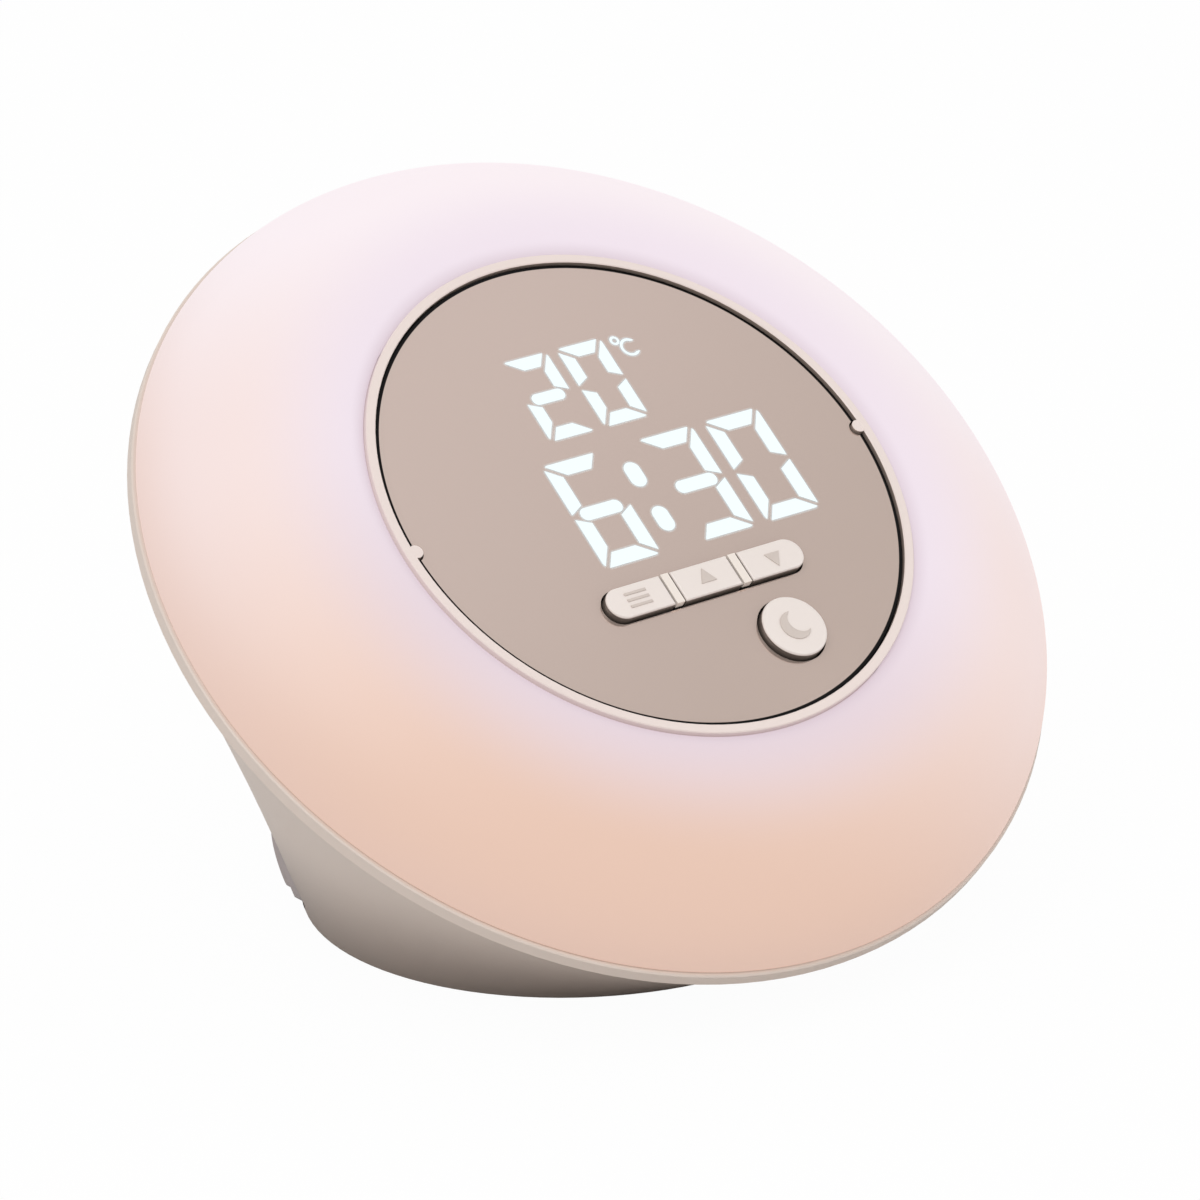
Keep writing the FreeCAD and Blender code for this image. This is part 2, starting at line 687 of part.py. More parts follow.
def make_boards():
    """Round front board, long main board and what stands on them."""
    front = disc(front_board_radius, front_board_back, front_board_top)
    for angle in board_screw_angles:
        front = front.cut(disc(screw_radius + play, front_board_back, front_board_top, *polar(board_screw_circle, angle)))
    add("front_board", front, True)
    heads = front_board_top + screw_head_height
    add("front_board_screws", Part.makeCompound([screw(*polar(board_screw_circle, angle), heads, 1)
                                                 for angle in board_screw_angles]), True)
    board = block((-main_board_length / 2, main_board_length / 2), (-main_board_width / 2, main_board_width / 2),
                  (main_board_back, main_board_top))
    corners = [e for e in board.Edges if abs(e.BoundBox.ZLength - main_board_thickness) < 0.01]
    board = board.makeFillet(standoff_radius, corners)
    screws = []
    for x in (-main_board_post_x, main_board_post_x):
        for y in (-main_board_post_y, main_board_post_y):
            board = board.cut(disc(screw_radius + play, main_board_back, main_board_top, x, y))
            screws.append(screw(x, y, main_board_back - screw_head_height, -1))
    add("main_board", board, True)
    add("main_board_screws", Part.makeCompound(screws), True)
    header_y = -main_board_width / 4
    add("board_header", block((-header_length / 2, header_length / 2), (header_y - header_width / 2,
                              header_y + header_width / 2), (main_board_top, front_board_back)), True)
    chip_x = -main_board_length / 4
    add("control_chip", block((chip_x - chip_size / 2, chip_x + chip_size / 2), (-chip_size / 2, chip_size / 2),
                              (main_board_top, main_board_top + chip_height)), True)
    holder_low = main_board_back - holder_floor - cell_thickness
    holder = disc(cell_radius + holder_wall, holder_low, main_board_back, cell_x)
    holder = holder.cut(disc(cell_radius + play, holder_low, main_board_back - holder_floor, cell_x))
    add("cell_holder", holder, True)
    add("backup_cell", disc(cell_radius, holder_low, main_board_back - holder_floor, cell_x), True)


def make_base():
    """Round cover under the shell with its screws and the rubber foot pad."""
    cover = disc(base_radius - shell_wall - base_cover_gap, base_edge_height, base_cover_top)
    cover = cover.cut(disc(foot_radius + play, base_edge_height, foot_thickness))
    screws = []
    for angle in base_screw_angles:
        x, y = polar(base_screw_circle, angle)
        head_low = base_edge_height + play
        cover = cover.cut(disc(base_screw_head_radius, base_edge_height, head_low + screw_head_height, x, y))
        cover = cover.cut(disc(screw_radius + play, base_edge_height, base_cover_top, x, y))
        screws.append(screw(x, y, head_low, -1))
    board_low = socket_low() - socket_board_thickness
    for x, y in socket_posts():
        cover = cover.fuse(disc(socket_post_radius, base_cover_top, board_low, x, y))
        cover = cover.cut(disc(screw_radius, foot_thickness + play, board_low, x, y))
    add("base_cover", cover.removeSplitter())
    add("base_screws", Part.makeCompound(screws))
    add("foot_pad", disc(foot_radius, 0, foot_thickness))


def socket_low():
    """Height of the socket's underside."""
    return panel_centre_height - socket_height / 2


def socket_mouth():
    """How far behind the middle the socket's mouth lies."""
    return base_radius + panel_proud - plug_recess_depth


def socket_board_back():
    """Rear edge of the socket board, clear of the panel."""
    return base_radius - shell_wall - panel_flange - 2 * panel_gap


def socket_posts():
    """Places of the two posts under the socket board."""
    y = socket_board_back() - socket_board_length + 2 * screw_head_radius
    x = socket_board_width / 2 - screw_head_radius - play
    return ((-x, y), (x, y))


def make_rear_panel():
    """Pill-shaped panel that stands a little proud of the shell low at the back."""
    outline = upright_pill(2 * panel_half_width, panel_height, (panel_front, 2 * base_radius), panel_centre_height)
    face = upright_pill(2 * (panel_half_width - panel_border), panel_height - 2 * panel_border,
                        (panel_front, 2 * base_radius), panel_centre_height)
    raised = body_taper(panel_proud).common(face).fuse(body_taper(panel_edge_proud).common(outline))
    skin = raised.cut(body_taper(-shell_wall - play / 2))
    reach = panel_gap + panel_flange_reach
    behind = upright_pill(2 * (panel_half_width + reach), panel_height + 2 * reach,
                          (panel_front, 2 * base_radius), panel_centre_height)
    above = block((-2 * base_radius, 2 * base_radius), (0, 2 * base_radius), (base_cover_top + play, face_height))
    flange = body_taper(-shell_wall - play / 2).cut(body_taper(-shell_wall - panel_flange))
    panel = skin.fuse(flange.common(behind).common(above))
    recess = block((-plug_recess_width / 2, plug_recess_width / 2), (socket_mouth(), 2 * base_radius),
                   (panel_centre_height - plug_recess_height / 2, panel_centre_height + plug_recess_height / 2))
    long_edges = [e for e in recess.Edges if e.BoundBox.YLength > base_radius]
    recess = recess.makeFillet(plug_recess_height * 0.3, long_edges)
    slot = upright_pill(socket_width + play, socket_height + play, (panel_front, socket_mouth()), panel_centre_height)
    cuts = [recess, slot]
    for step in range(vent_count):
        for side in (-1, 1):
            cuts.append(upright_slot(vent_width, vent_height, (panel_front, 2 * base_radius),
                                     side * (vent_x + step * vent_pitch), panel_centre_height))
    add("rear_panel", panel.cut(cuts).removeSplitter())


def make_power_socket():
    """Metal socket shell with its contact tongue, on a small board."""
    mouth, back = socket_mouth(), socket_mouth() - socket_length
    shell = upright_pill(socket_width, socket_height, (back, mouth), panel_centre_height)
    hollow = upright_pill(socket_width - 2 * socket_wall, socket_height - 2 * socket_wall, (back + socket_wall, mouth),
                          panel_centre_height)
    tongue = block((-socket_width * 0.36, socket_width * 0.36), (back, mouth - 2 * socket_wall),
                   (panel_centre_height - tongue_thickness / 2, panel_centre_height + tongue_thickness / 2))
    add("power_socket", shell.cut(hollow).fuse(tongue))
    low, high = socket_low() - socket_board_thickness, socket_low()
    board = block((-socket_board_width / 2, socket_board_width / 2),
                  (socket_board_back() - socket_board_length, socket_board_back()), (low, high))
    for x, y in socket_posts():
        board = board.cut(disc(screw_radius + play, low, high, x, y))
    add("socket_board", board)
    add("socket_screws", Part.makeCompound([screw(x, y, high + screw_head_height, 1) for x, y in socket_posts()]))


def make_speaker():
    """Loudspeaker that faces the grille at the back."""
    back = speaker_front - speaker_flange_thickness
    half = speaker_flange / 2
    flange = block((-half, half), (back, speaker_front), (speaker_height - half, speaker_height + half))
    corners = [e for e in flange.Edges if abs(e.BoundBox.YLength - speaker_flange_thickness) < 0.01]
    flange = flange.makeFillet(speaker_boss_radius, corners)
    y_axis = Vector(0, 1, 0)
    basket = Part.makeCone(magnet_radius + 1, speaker_radius, speaker_depth - magnet_thickness,
                           Vector(0, speaker_front - speaker_depth + magnet_thickness, speaker_height), y_axis)
    inside = Part.makeCone(magnet_radius, speaker_radius - 1, speaker_depth - magnet_thickness,
                           Vector(0, speaker_front - speaker_depth + magnet_thickness + 1, speaker_height), y_axis)
    basket = basket.fuse(flange).cut(inside)
    screws = []
    for x in (-speaker_screw_offset, speaker_screw_offset):
        for z in (-speaker_screw_offset, speaker_screw_offset):
            basket = basket.cut(along_y(screw_radius + play, (back, speaker_front), x, speaker_height + z))
            fastener = screw(0, 0, 0, -1)
            fastener.rotate(Vector(0, 0, 0), Vector(1, 0, 0), -90)
            fastener.translate(Vector(x, back - screw_head_height, speaker_height + z))
            screws.append(fastener)
    add("speaker_basket", basket.removeSplitter())
    add("speaker_screws", Part.makeCompound(screws))
    magnet_front = speaker_front - speaker_depth + magnet_thickness
    add("speaker_magnet", along_y(magnet_radius, (magnet_front - magnet_thickness, magnet_front), 0, speaker_height))
    rim, throat = speaker_radius - 1 - play - cone_wall, magnet_radius * 0.45
    depth = speaker_depth - magnet_thickness - 2.5
    paper = Part.makeCone(throat, rim, depth, Vector(0, speaker_front - depth, speaker_height), y_axis)
    hollow = Part.makeCone(throat - cone_wall, rim - cone_wall, depth,
                           Vector(0, speaker_front - depth + cone_wall, speaker_height), y_axis)
    cap = Part.makeSphere(throat * 1.1, Vector(0, speaker_front - depth + cone_wall, speaker_height))
    add("speaker_cone", paper.cut(hollow).fuse(cap.common(hollow)).removeSplitter())


def lead(points):
    """Round lead through points, each corner rounded by an arc."""
    edges = []
    start = points[0]
    for before, corner, after in zip(points, points[1:], points[2:]):
        run_in, run_out = corner - before, after - corner
        turn = run_in.getAngle(run_out)
        radius = 0.45 * min(run_in.Length, run_out.Length) / math.tan(turn / 2)
        trim = radius * math.tan(turn / 2)
        first = corner - run_in.normalize() * trim
        last = corner + run_out.normalize() * trim
        inward = (last - corner).normalize() + (first - corner).normalize()
        middle = corner + inward.normalize() * (radius / math.cos(turn / 2) - radius)
        edges.append(Part.LineSegment(start, first).toShape())
        edges.append(Part.Arc(first, middle, last).toShape())
        start = last
    edges.append(Part.LineSegment(start, points[-1]).toShape())
    section = Part.Wire([Part.Edge(Part.Circle(points[0], points[1] - points[0], lead_radius))])
    return Part.Wire(edges).makePipeShell([section], True, True)


def on_face(x, y, height):
    """Point of the face frame in the clock's frame."""
    return face_placement.multVec(Vector(x, y, height))


def make_leads():
    """Leads from the main board to the light ring, the socket board and the loudspeaker."""
    x, y = ring_lead_place()
    start_y = -main_board_width / 2 + 2 * lead_radius
    loop = main_board_back - lead_slack / 2
    add("ring_lead", lead([Vector(x, start_y, main_board_back), Vector(x, start_y, loop), Vector(x, y, loop),
                           Vector(x, y, tray_floor_top)]), True)
    board_x = socket_board_width / 4
    board_y = socket_board_back() - socket_board_length / 2 - lead_radius
    start = on_face(board_x, start_y, main_board_back)
    below = on_face(board_x, start_y, main_board_back - lead_slack)
    over = Vector(board_x, board_y, socket_low() + lead_slack)
    add("power_lead", lead([start, below, over, Vector(board_x, board_y, socket_low())]))
    side = (speaker_radius + speaker_flange / 2) / 2
    back = speaker_front - speaker_flange_thickness
    start = on_face(-side, -start_y / 2, main_board_back)
    below = on_face(-side, -start_y / 2, main_board_back - lead_slack * 2 / 3)
    add("speaker_lead", lead([start, below, Vector(-side, back - speaker_depth, speaker_height),
                              Vector(-side, back, speaker_height)]))


make_bezel_ring()
make_mirror_panel()
skirt_outer_radius, skirt_bottom = make_diffuser_dome()
make_rear_shell(skirt_outer_radius, skirt_bottom)
make_reflector_tray()
make_light_ring()
make_display()
make_keys()
make_key_frame()
make_boards()
make_base()
make_rear_panel()
make_power_socket()
make_speaker()
make_leads()

os.makedirs("parts", exist_ok=True)
for part_name, part_shape in parts.items():
    part_shape.exportStep(os.path.join("parts", part_name + ".step"))
    print(part_name, len(part_shape.Solids), round(part_shape.Volume, 1), part_shape.isValid())
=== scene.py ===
"""Looks of the sunrise alarm clock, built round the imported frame.

Each sub-assembly of the clock is a class that holds its sizes in millimetres, makes its
pieces and dresses them. What lies on the tilted disc is drawn flat in the face frame
(x to the right, y up the face, z out of the face) and then placed.
"""
import json
import logging
import math
from dataclasses import dataclass, field
from enum import Enum

import bpy
from mathutils import Matrix, Vector
from mathutils.geometry import interpolate_bezier


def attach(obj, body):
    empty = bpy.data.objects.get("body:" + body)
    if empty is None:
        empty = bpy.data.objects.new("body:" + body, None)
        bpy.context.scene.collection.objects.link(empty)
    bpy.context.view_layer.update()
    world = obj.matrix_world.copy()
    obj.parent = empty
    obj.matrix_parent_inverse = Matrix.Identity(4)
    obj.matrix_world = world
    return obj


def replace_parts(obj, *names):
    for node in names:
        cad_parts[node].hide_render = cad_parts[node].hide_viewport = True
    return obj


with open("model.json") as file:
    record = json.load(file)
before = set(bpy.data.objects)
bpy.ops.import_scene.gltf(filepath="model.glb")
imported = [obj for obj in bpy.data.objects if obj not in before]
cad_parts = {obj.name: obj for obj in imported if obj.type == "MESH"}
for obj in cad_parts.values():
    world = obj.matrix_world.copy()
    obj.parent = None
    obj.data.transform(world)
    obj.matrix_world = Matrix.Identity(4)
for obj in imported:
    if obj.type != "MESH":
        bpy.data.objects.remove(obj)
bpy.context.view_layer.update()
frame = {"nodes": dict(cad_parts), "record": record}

MM = 0.001
FACE_LEAN = math.radians(39.0)
FACE_CENTRE = (0.0, -20.3 * MM, 75.2 * MM)
FACE_MATRIX = Matrix.Translation(FACE_CENTRE) @ Matrix.Rotation(FACE_LEAN, 4, "X")
FACE_NORMAL = FACE_MATRIX.to_3x3() @ Vector((0, 0, 1))
FACE_PLACES = ("Across", "Up", "Out", "Radius")
MERGE_DISTANCE = 0.001 * MM
ROOT = "clock_body"

# The standard curve between screen levels and linear light
FULL_LEVEL = 255
CURVE_START = 10
CURVE_OFFSET = 0.055
CURVE_POWER = 2.4
CURVE_SLOPE = 12.92

# Moulded surfaces: the slow drift in tone and gloss
DRIFT_SCALE = 28.0
DRIFT_MIDDLE = 0.5
DRIFT_GLOSS = 0.16
GRAIN_STRENGTH = 0.6

Color = tuple[float, float, float, float]
Place = tuple[float, float]

log = logging.getLogger("sunrise_clock")


class Key(Enum):
    """The four keys, each with the CAD node and the body that it belongs to."""

    MODE = ("mode_key", "mode_assembly")
    UP = ("up_key", "up_assembly")
    DOWN = ("down_key", "down_assembly")
    SNOOZE = ("snooze_button", "snooze_assembly")


def srgb(red: float, green: float, blue: float) -> Color:
    """Turn a colour as seen on a screen into the linear values that shaders use.

    Args:
        red: Red from 0 to 255.
        green: Green from 0 to 255.
        blue: Blue from 0 to 255.

    Returns:
        Linear red, green, blue and full alpha.
    """
    linear = []
    for level in (red, green, blue):
        share = level / FULL_LEVEL
        curved = ((share + CURVE_OFFSET) / (1 + CURVE_OFFSET)) ** CURVE_POWER
        linear.append(curved if level > CURVE_START else share / CURVE_SLOPE)
    return (*linear, 1.0)


class Sheet:
    """A node tree with short ways to add and join nodes."""

    def __init__(self, tree: bpy.types.NodeTree) -> None:
        """Keep the tree that the nodes go into.

        Args:
            tree: The tree.
        """
        self.tree = tree

    def add(self, kind: str, values: dict | None = None, **settings: object) -> bpy.types.Node:
        """Add a node.

        Args:
            kind: Node type without its ShaderNode prefix.
            values: Input socket name or index, with a value or the socket that feeds it.
            settings: Properties of the node itself.

        Returns:
            The new node.
        """
        prefix = "" if kind.startswith(("NodeGroup", "ShaderNode")) else "ShaderNode"
        node = self.tree.nodes.new(prefix + kind)
        for name, setting in settings.items():
            setattr(node, name, setting)
        for name, value in (values or {}).items():
            if isinstance(value, bpy.types.NodeSocket):
                self.tree.links.new(value, node.inputs[name])
            else:
                node.inputs[name].default_value = value
        return node

    def math(self, operation: str, first: object, second: object = 0.0) -> bpy.types.NodeSocket:
        """Join two values.

        Args:
            operation: Kind of sum, as the Math node names it.
            first: First value, or the socket that gives it.
            second: Second value, or the socket that gives it.

        Returns:
            The result's socket.
        """
        return self.add("Math", {0: first, 1: second}, operation=operation).outputs[0]

    def fade(self, value: object, low: float, high: float) -> bpy.types.NodeSocket:
        """Rise smoothly from 0 to 1.

        Args:
            value: Socket of the value that the rise follows.
            low: Value where the result is 0.
            high: Value where the result is 1; it may lie below low.

        Returns:
            The result's socket.
        """
        node = self.add("MapRange", {"Value": value, "From Min": low, "From Max": high},
                        interpolation_type="SMOOTHSTEP")
        return node.outputs["Result"]

    def mix(self, share: object, first: object, second: object) -> bpy.types.NodeSocket:
        """Mix two colours.

        Args:
            share: Share of the second colour, or the socket that gives it.
            first: First colour, or the socket that gives it.
            second: Second colour, or the socket that gives it.

        Returns:
            The result's socket.
        """
        node = self.add("Mix", {0: share, 6: first, 7: second}, data_type="RGBA")
        return node.outputs[2]


def new_group(name: str, inputs: dict[str, float],
              outputs: tuple[str, ...]) -> tuple[bpy.types.NodeTree, Sheet]:
    """Start a shader node group with named sockets.

    Args:
        name: Name of the group.
        inputs: Names of the value inputs with their defaults, after a Vector input.
        outputs: Names of the value outputs.

    Returns:
        The group and the sheet that fills it.
    """
    group = bpy.data.node_groups.new(name, "ShaderNodeTree")
    group.interface.new_socket("Vector", in_out="INPUT", socket_type="NodeSocketVector")
    for title, value in inputs.items():
        socket = group.interface.new_socket(title, in_out="INPUT", socket_type="NodeSocketFloat")
        socket.default_value = value
    for title in outputs:
        group.interface.new_socket(title, in_out="OUTPUT", socket_type="NodeSocketFloat")
    return group, Sheet(group)


def face_place_group() -> bpy.types.NodeTree:
    """Build the group that turns a place on the clock into one on its tilted face.

    Returns:
        Group with outputs Across, Up, Out and Radius in millimetres.
    """
    group, sheet = new_group("face_place", {}, FACE_PLACES)
    start = sheet.add("NodeGroupInput")
    end = sheet.add("NodeGroupOutput")
    back = tuple(-value for value in FACE_CENTRE)
    centred = sheet.add("Mapping", {"Vector": start.outputs["Vector"], "Location": back})
    flat = sheet.add("Mapping", {"Vector": centred.outputs[0], "Rotation": (-FACE_LEAN, 0, 0),
                                 "Scale": (1 / MM, 1 / MM, 1 / MM)})
    across, up, out = sheet.add("SeparateXYZ", {0: flat.outputs[0]}).outputs
    across_square = sheet.math("MULTIPLY", across, across)
    up_square = sheet.math("MULTIPLY", up, up)
    radius = sheet.math("SQRT", sheet.math("ADD", across_square, up_square))
    for title, socket in zip(FACE_PLACES, (across, up, out, radius)):
        sheet.tree.links.new(socket, end.inputs[title])
    return group


def moulding_group() -> bpy.types.NodeTree:
    """Build the group for the fine spark-eroded grain of a moulded surface.

    Returns:
        Group with inputs Grain and Tone, and outputs Shade, Gloss and Height.
    """
    group, sheet = new_group("moulding_grain", {"Grain": 3000.0, "Tone": 0.02}, ("Shade", "Gloss", "Height"))
    start = sheet.add("NodeGroupInput")
    end = sheet.add("NodeGroupOutput")
    grain = sheet.add("TexNoise", {"Vector": start.outputs["Vector"], "Scale": start.outputs["Grain"],
                                   "Detail": 2.0, "Roughness": 0.6})
    flow = sheet.add("TexNoise", {"Vector": start.outputs["Vector"], "Scale": DRIFT_SCALE, "Detail": 3.0})
    drift = sheet.math("SUBTRACT", flow.outputs["Fac"], DRIFT_MIDDLE)
    shade = sheet.math("ADD", 1.0, sheet.math("MULTIPLY", drift, start.outputs["Tone"]))
    gloss = sheet.math("MULTIPLY", drift, DRIFT_GLOSS)
    for title, socket in zip(("Shade", "Gloss", "Height"), (shade, gloss, grain.outputs["Fac"])):
        sheet.tree.links.new(socket, end.inputs[title])
    return group


GROUPS: dict[str, bpy.types.NodeTree] = {}


def group_named(name: str) -> bpy.types.NodeTree:
    """Give one of the shared groups, building it on first use.

    Args:
        name: Name of the group.

    Returns:
        The group.
    """
    if name not in GROUPS:
        GROUPS[name] = {"face_place": face_place_group, "moulding_grain": moulding_group}[name]()
    return GROUPS[name]


@dataclass(frozen=True)
class Finish:
    """A plain moulded finish; other finishes change parts of it."""

    name: str
    color: Color
    roughness: float = 0.45
    metallic: float = 0.0
    grain: float = 3000.0
    grain_depth: float = 0.00001
    tone: float = 0.05
    coat: float = 0.0
    coat_roughness: float = 0.15
    specular: float = 0.5

    def place(self, sheet: Sheet) -> dict[str, bpy.types.NodeSocket]:
        """Find the point's place on the face.

        Args:
            sheet: Sheet of the material.

        Returns:
            Sockets by title, in millimetres.
        """
        where = sheet.add("TexCoord").outputs["Object"]
        node = sheet.add("ShaderNodeGroup", node_tree=group_named("face_place"))
        sheet.tree.links.new(where, node.inputs["Vector"])
        return {title: node.outputs[title] for title in FACE_PLACES}

    def base(self, sheet: Sheet) -> object:
        """Give the colour before the moulding's slow drift in tone.

        Args:
            sheet: Sheet of the material.

        Returns:
            A colour, or the socket of a pattern.
        """
        return self.color

    def extra(self, sheet: Sheet, shader: bpy.types.Node, color: bpy.types.NodeSocket) -> None:
        """Add to the shader; a plain finish adds nothing.

        Args:
            sheet: Sheet of the material.
            shader: The shader.
            color: Socket of the finished colour.
        """

    def build(self) -> bpy.types.Material:
        """Make the material.

        Returns:
            The finished material.
        """
        material = bpy.data.materials.new(self.name)
        material.use_nodes = True
        material.node_tree.nodes.clear()
        sheet = Sheet(material.node_tree)
        where = sheet.add("TexCoord").outputs["Object"]
        grain = sheet.add("ShaderNodeGroup", node_tree=group_named("moulding_grain"))
        grain.inputs["Grain"].default_value = self.grain
        grain.inputs["Tone"].default_value = self.tone
        sheet.tree.links.new(where, grain.inputs["Vector"])
        shade = sheet.add("CombineXYZ", {axis: grain.outputs["Shade"] for axis in range(3)})
        color = sheet.add("Mix", {0: 1.0, 6: self.base(sheet), 7: shade.outputs[0]}, data_type="RGBA",
                          blend_type="MULTIPLY").outputs[2]
        gloss = sheet.math("ADD", self.roughness, grain.outputs["Gloss"])
        bump = sheet.add("Bump", {"Height": grain.outputs["Height"], "Distance": self.grain_depth,
                                  "Strength": GRAIN_STRENGTH})
        shader = sheet.add("BsdfPrincipled", {
            "Base Color": color, "Roughness": gloss, "Metallic": self.metallic, "Normal": bump.outputs[0],
            "Coat Weight": self.coat, "Coat Roughness": self.coat_roughness,
            "Specular IOR Level": self.specular})
        self.extra(sheet, shader, color)
        out = sheet.add("OutputMaterial")
        sheet.tree.links.new(shader.outputs[0], out.inputs["Surface"])
        return material


@dataclass(frozen=True)
class GlowFinish(Finish):
    """Diffuser lit from inside: lilac near the mirror, pale above, pink at the sides, peach below, with
    painted shade next to the trim ring.
    """

    lilac: Color = srgb(239, 226, 236)
    lilac_low: Color = srgb(229, 212, 220)
    # Colour of the painted shade on the diffuser next to the trim ring
    painted_shade_lilac: Color = srgb(219, 203, 213)
    pale: Color = srgb(247, 236, 240)
    pink: Color = srgb(244, 225, 222)
    peach: Color = srgb(233, 199, 181)
    edge: Color = srgb(232, 200, 186)
    warm_across: float = -0.5
    warm_up: float = -0.86
    pink_span: Place = (-48.0, 8.0)
    peach_span: Place = (4.0, 68.0)
    lilac_span: Place = (0.0, 42.0)
    inner_radius: float = 46.8
    lilac_width: float = 20.0
    shade_width: float = 2.6
    shade_share: float = 0.6
    edge_span: Place = (-8.0, -19.0)
    edge_warm_span: Place = (-60.0, 20.0)
    edge_share: float = 0.5
    glow: float = 0.62
    lit_share: float = 0.34

    def base(self, sheet: Sheet) -> object:
        """Colour by how far the point is from the mirror and how far towards the warm side."""
        place = self.place(sheet)
        warm = sheet.math("ADD", sheet.math("MULTIPLY", place["Across"], self.warm_across),
                          sheet.math("MULTIPLY", place["Up"], self.warm_up))
        outer = sheet.mix(sheet.fade(warm, *self.pink_span), self.pale, self.pink)
        outer = sheet.mix(sheet.fade(warm, *self.peach_span), outer, self.peach)
        inner = sheet.mix(sheet.fade(warm, *self.lilac_span), self.lilac, self.lilac_low)
        # Painted shade: the diffuser darkens next to the trim ring
        shade = sheet.fade(place["Radius"], self.inner_radius + self.shade_width, self.inner_radius)
        inner = sheet.mix(sheet.math("MULTIPLY", shade, self.shade_share), inner, self.painted_shade_lilac)
        outward = sheet.fade(place["Radius"], self.inner_radius, self.inner_radius + self.lilac_width)
        body = sheet.mix(outward, inner, outer)
        rim = sheet.math("MULTIPLY", sheet.fade(place["Out"], *self.edge_span), self.edge_share)
        edge = sheet.math("MULTIPLY", rim, sheet.fade(warm, *self.edge_warm_span))
        return sheet.mix(edge, body, self.edge)

    def extra(self, sheet: Sheet, shader: bpy.types.Node, color: bpy.types.NodeSocket) -> None:
        """Add the light from inside, and hold the outer light down to its share."""
        sheet.tree.links.new(color, shader.inputs["Emission Color"])
        sheet.tree.links.new(sheet.mix(self.lit_share, (0, 0, 0, 1), color), shader.inputs["Base Color"])
        shader.inputs["Emission Strength"].default_value = self.glow


@dataclass(frozen=True)
class MirrorFinish(Finish):
    """Half-mirror whose tone darkens softly to the lower right as painted reflection, with a dark band of
    painted shade from the gap at its edge.
    """

    # Painted reflection: the mirror's tone darkens to this colour towards the lower right
    far: Color = srgb(214, 194, 183)
    # Colour of the painted shade of the gap by the trim ring, as a dark band round the mirror's edge
    gap_shade: Color = srgb(16, 14, 14)
    border_radius: float = 44.2
    border_blur: float = 0.06
    across_share: float = 0.6
    reflection_shade_reach: float = 60.0

    def base(self, sheet: Sheet) -> object:
        """Painted reflection that darkens the tone across the face, then the dark band of painted gap shade
        at the edge.
        """
        place = self.place(sheet)
        # Painted reflection that darkens the mirror towards the lower right
        across = sheet.math("MULTIPLY", place["Across"], self.across_share)
        along = sheet.math("SUBTRACT", across, place["Up"])
        tone = sheet.mix(sheet.fade(along, -self.reflection_shade_reach, self.reflection_shade_reach), self.color, self.far)
        # Painted shade of the gap at the mirror's edge
        edge = sheet.fade(place["Radius"], self.border_radius, self.border_radius + self.border_blur)
        return sheet.mix(edge, tone, self.gap_shade)


@dataclass(frozen=True)
class BezelFinish(Finish):
    """Trim ring with painted shade on its inner wall and tab sides, below its light top."""

    # Colour of the painted shade on the ring's inner wall and tab sides
    wall: Color = srgb(132, 118, 110)
    wall_shade_radius: float = 45.4
    wall_shade_top: float = -0.16
    blur: float = 0.05

    def base(self, sheet: Sheet) -> object:
        """Painted shade only inside the ring and below its top edge."""
        place = self.place(sheet)
        # Painted shade inside the ring and below its top edge
        inside = sheet.fade(place["Radius"], self.wall_shade_radius, self.wall_shade_radius - self.blur)
        below = sheet.fade(place["Out"], self.wall_shade_top, self.wall_shade_top - self.blur)
        return sheet.mix(sheet.math("MULTIPLY", inside, below), self.color, self.wall)


@dataclass(frozen=True)
class ShellFinish(Finish):
    """Beige moulding with painted shade that darkens it softly towards the foot."""

    # Colour of the painted shade at the foot
    low: Color = srgb(158, 144, 135)
    shade_top: float = 0.03
    rim_radius: float = 78.0
    rim_width: float = 3.0

    def base(self, sheet: Sheet) -> object:
        """Painted shade by height above the table, with the rim left as it is."""
        where = sheet.add("TexCoord").outputs["Object"]
        height = sheet.add("SeparateXYZ", {0: where}).outputs[2]
        body = sheet.fade(self.place(sheet)["Radius"], self.rim_radius, self.rim_radius - self.rim_width)
        # Painted shade grows towards the table, except on the rim
        share = sheet.math("MULTIPLY", body, sheet.fade(height, self.shade_top, 0.0))
        return sheet.mix(share, self.color, self.low)


@dataclass(frozen=True)
class StepFinish(Finish):
    """A light top with painted shade below a height over the face, as on the walls of keys and ribs."""

    # Colour of the painted shade on the walls below the height
    below: Color = srgb(70, 64, 60)
    height: float = 0.0
    blur: float = 0.15

    def base(self, sheet: Sheet) -> object:
        """Painted shade below the height."""
        place = self.place(sheet)
        above = sheet.fade(place["Out"], self.height - self.blur, self.height)
        return sheet.mix(above, self.below, self.color)


@dataclass(frozen=True)
class HubFinish(Finish):
    """White reflector with a black-painted hub that stops stray light."""

    hub: Color = srgb(26, 25, 25)
    hub_radius: float = 46.0
    blur: float = 0.2

    def base(self, sheet: Sheet) -> object:
        """Black inside the hub's radius."""
        place = self.place(sheet)
        outside = sheet.fade(place["Radius"], self.hub_radius, self.hub_radius + self.blur)
        return sheet.mix(outside, self.hub, self.color)


@dataclass(frozen=True)
class LitFinish(Finish):
    """Light seen in the mirror: a dark base that glows in one even colour."""

    glow: float = 1.0
    core: Color = srgb(240, 250, 253)

    def extra(self, sheet: Sheet, shader: bpy.types.Node, color: bpy.types.NodeSocket) -> None:
        """Add the light."""
        shader.inputs["Emission Color"].default_value = self.core
        shader.inputs["Emission Strength"].default_value = self.glow


@dataclass(frozen=True)
class HaloFinish(LitFinish):
    """Faint light whose strength is the piece's own attribute."""

    def extra(self, sheet: Sheet, shader: bpy.types.Node, color: bpy.types.NodeSocket) -> None:
        """Fade the film by its attribute."""
        super().extra(sheet, shader, color)
        fade = sheet.add("Attribute", attribute_name="glow").outputs["Fac"]
        sheet.tree.links.new(fade, shader.inputs["Alpha"])


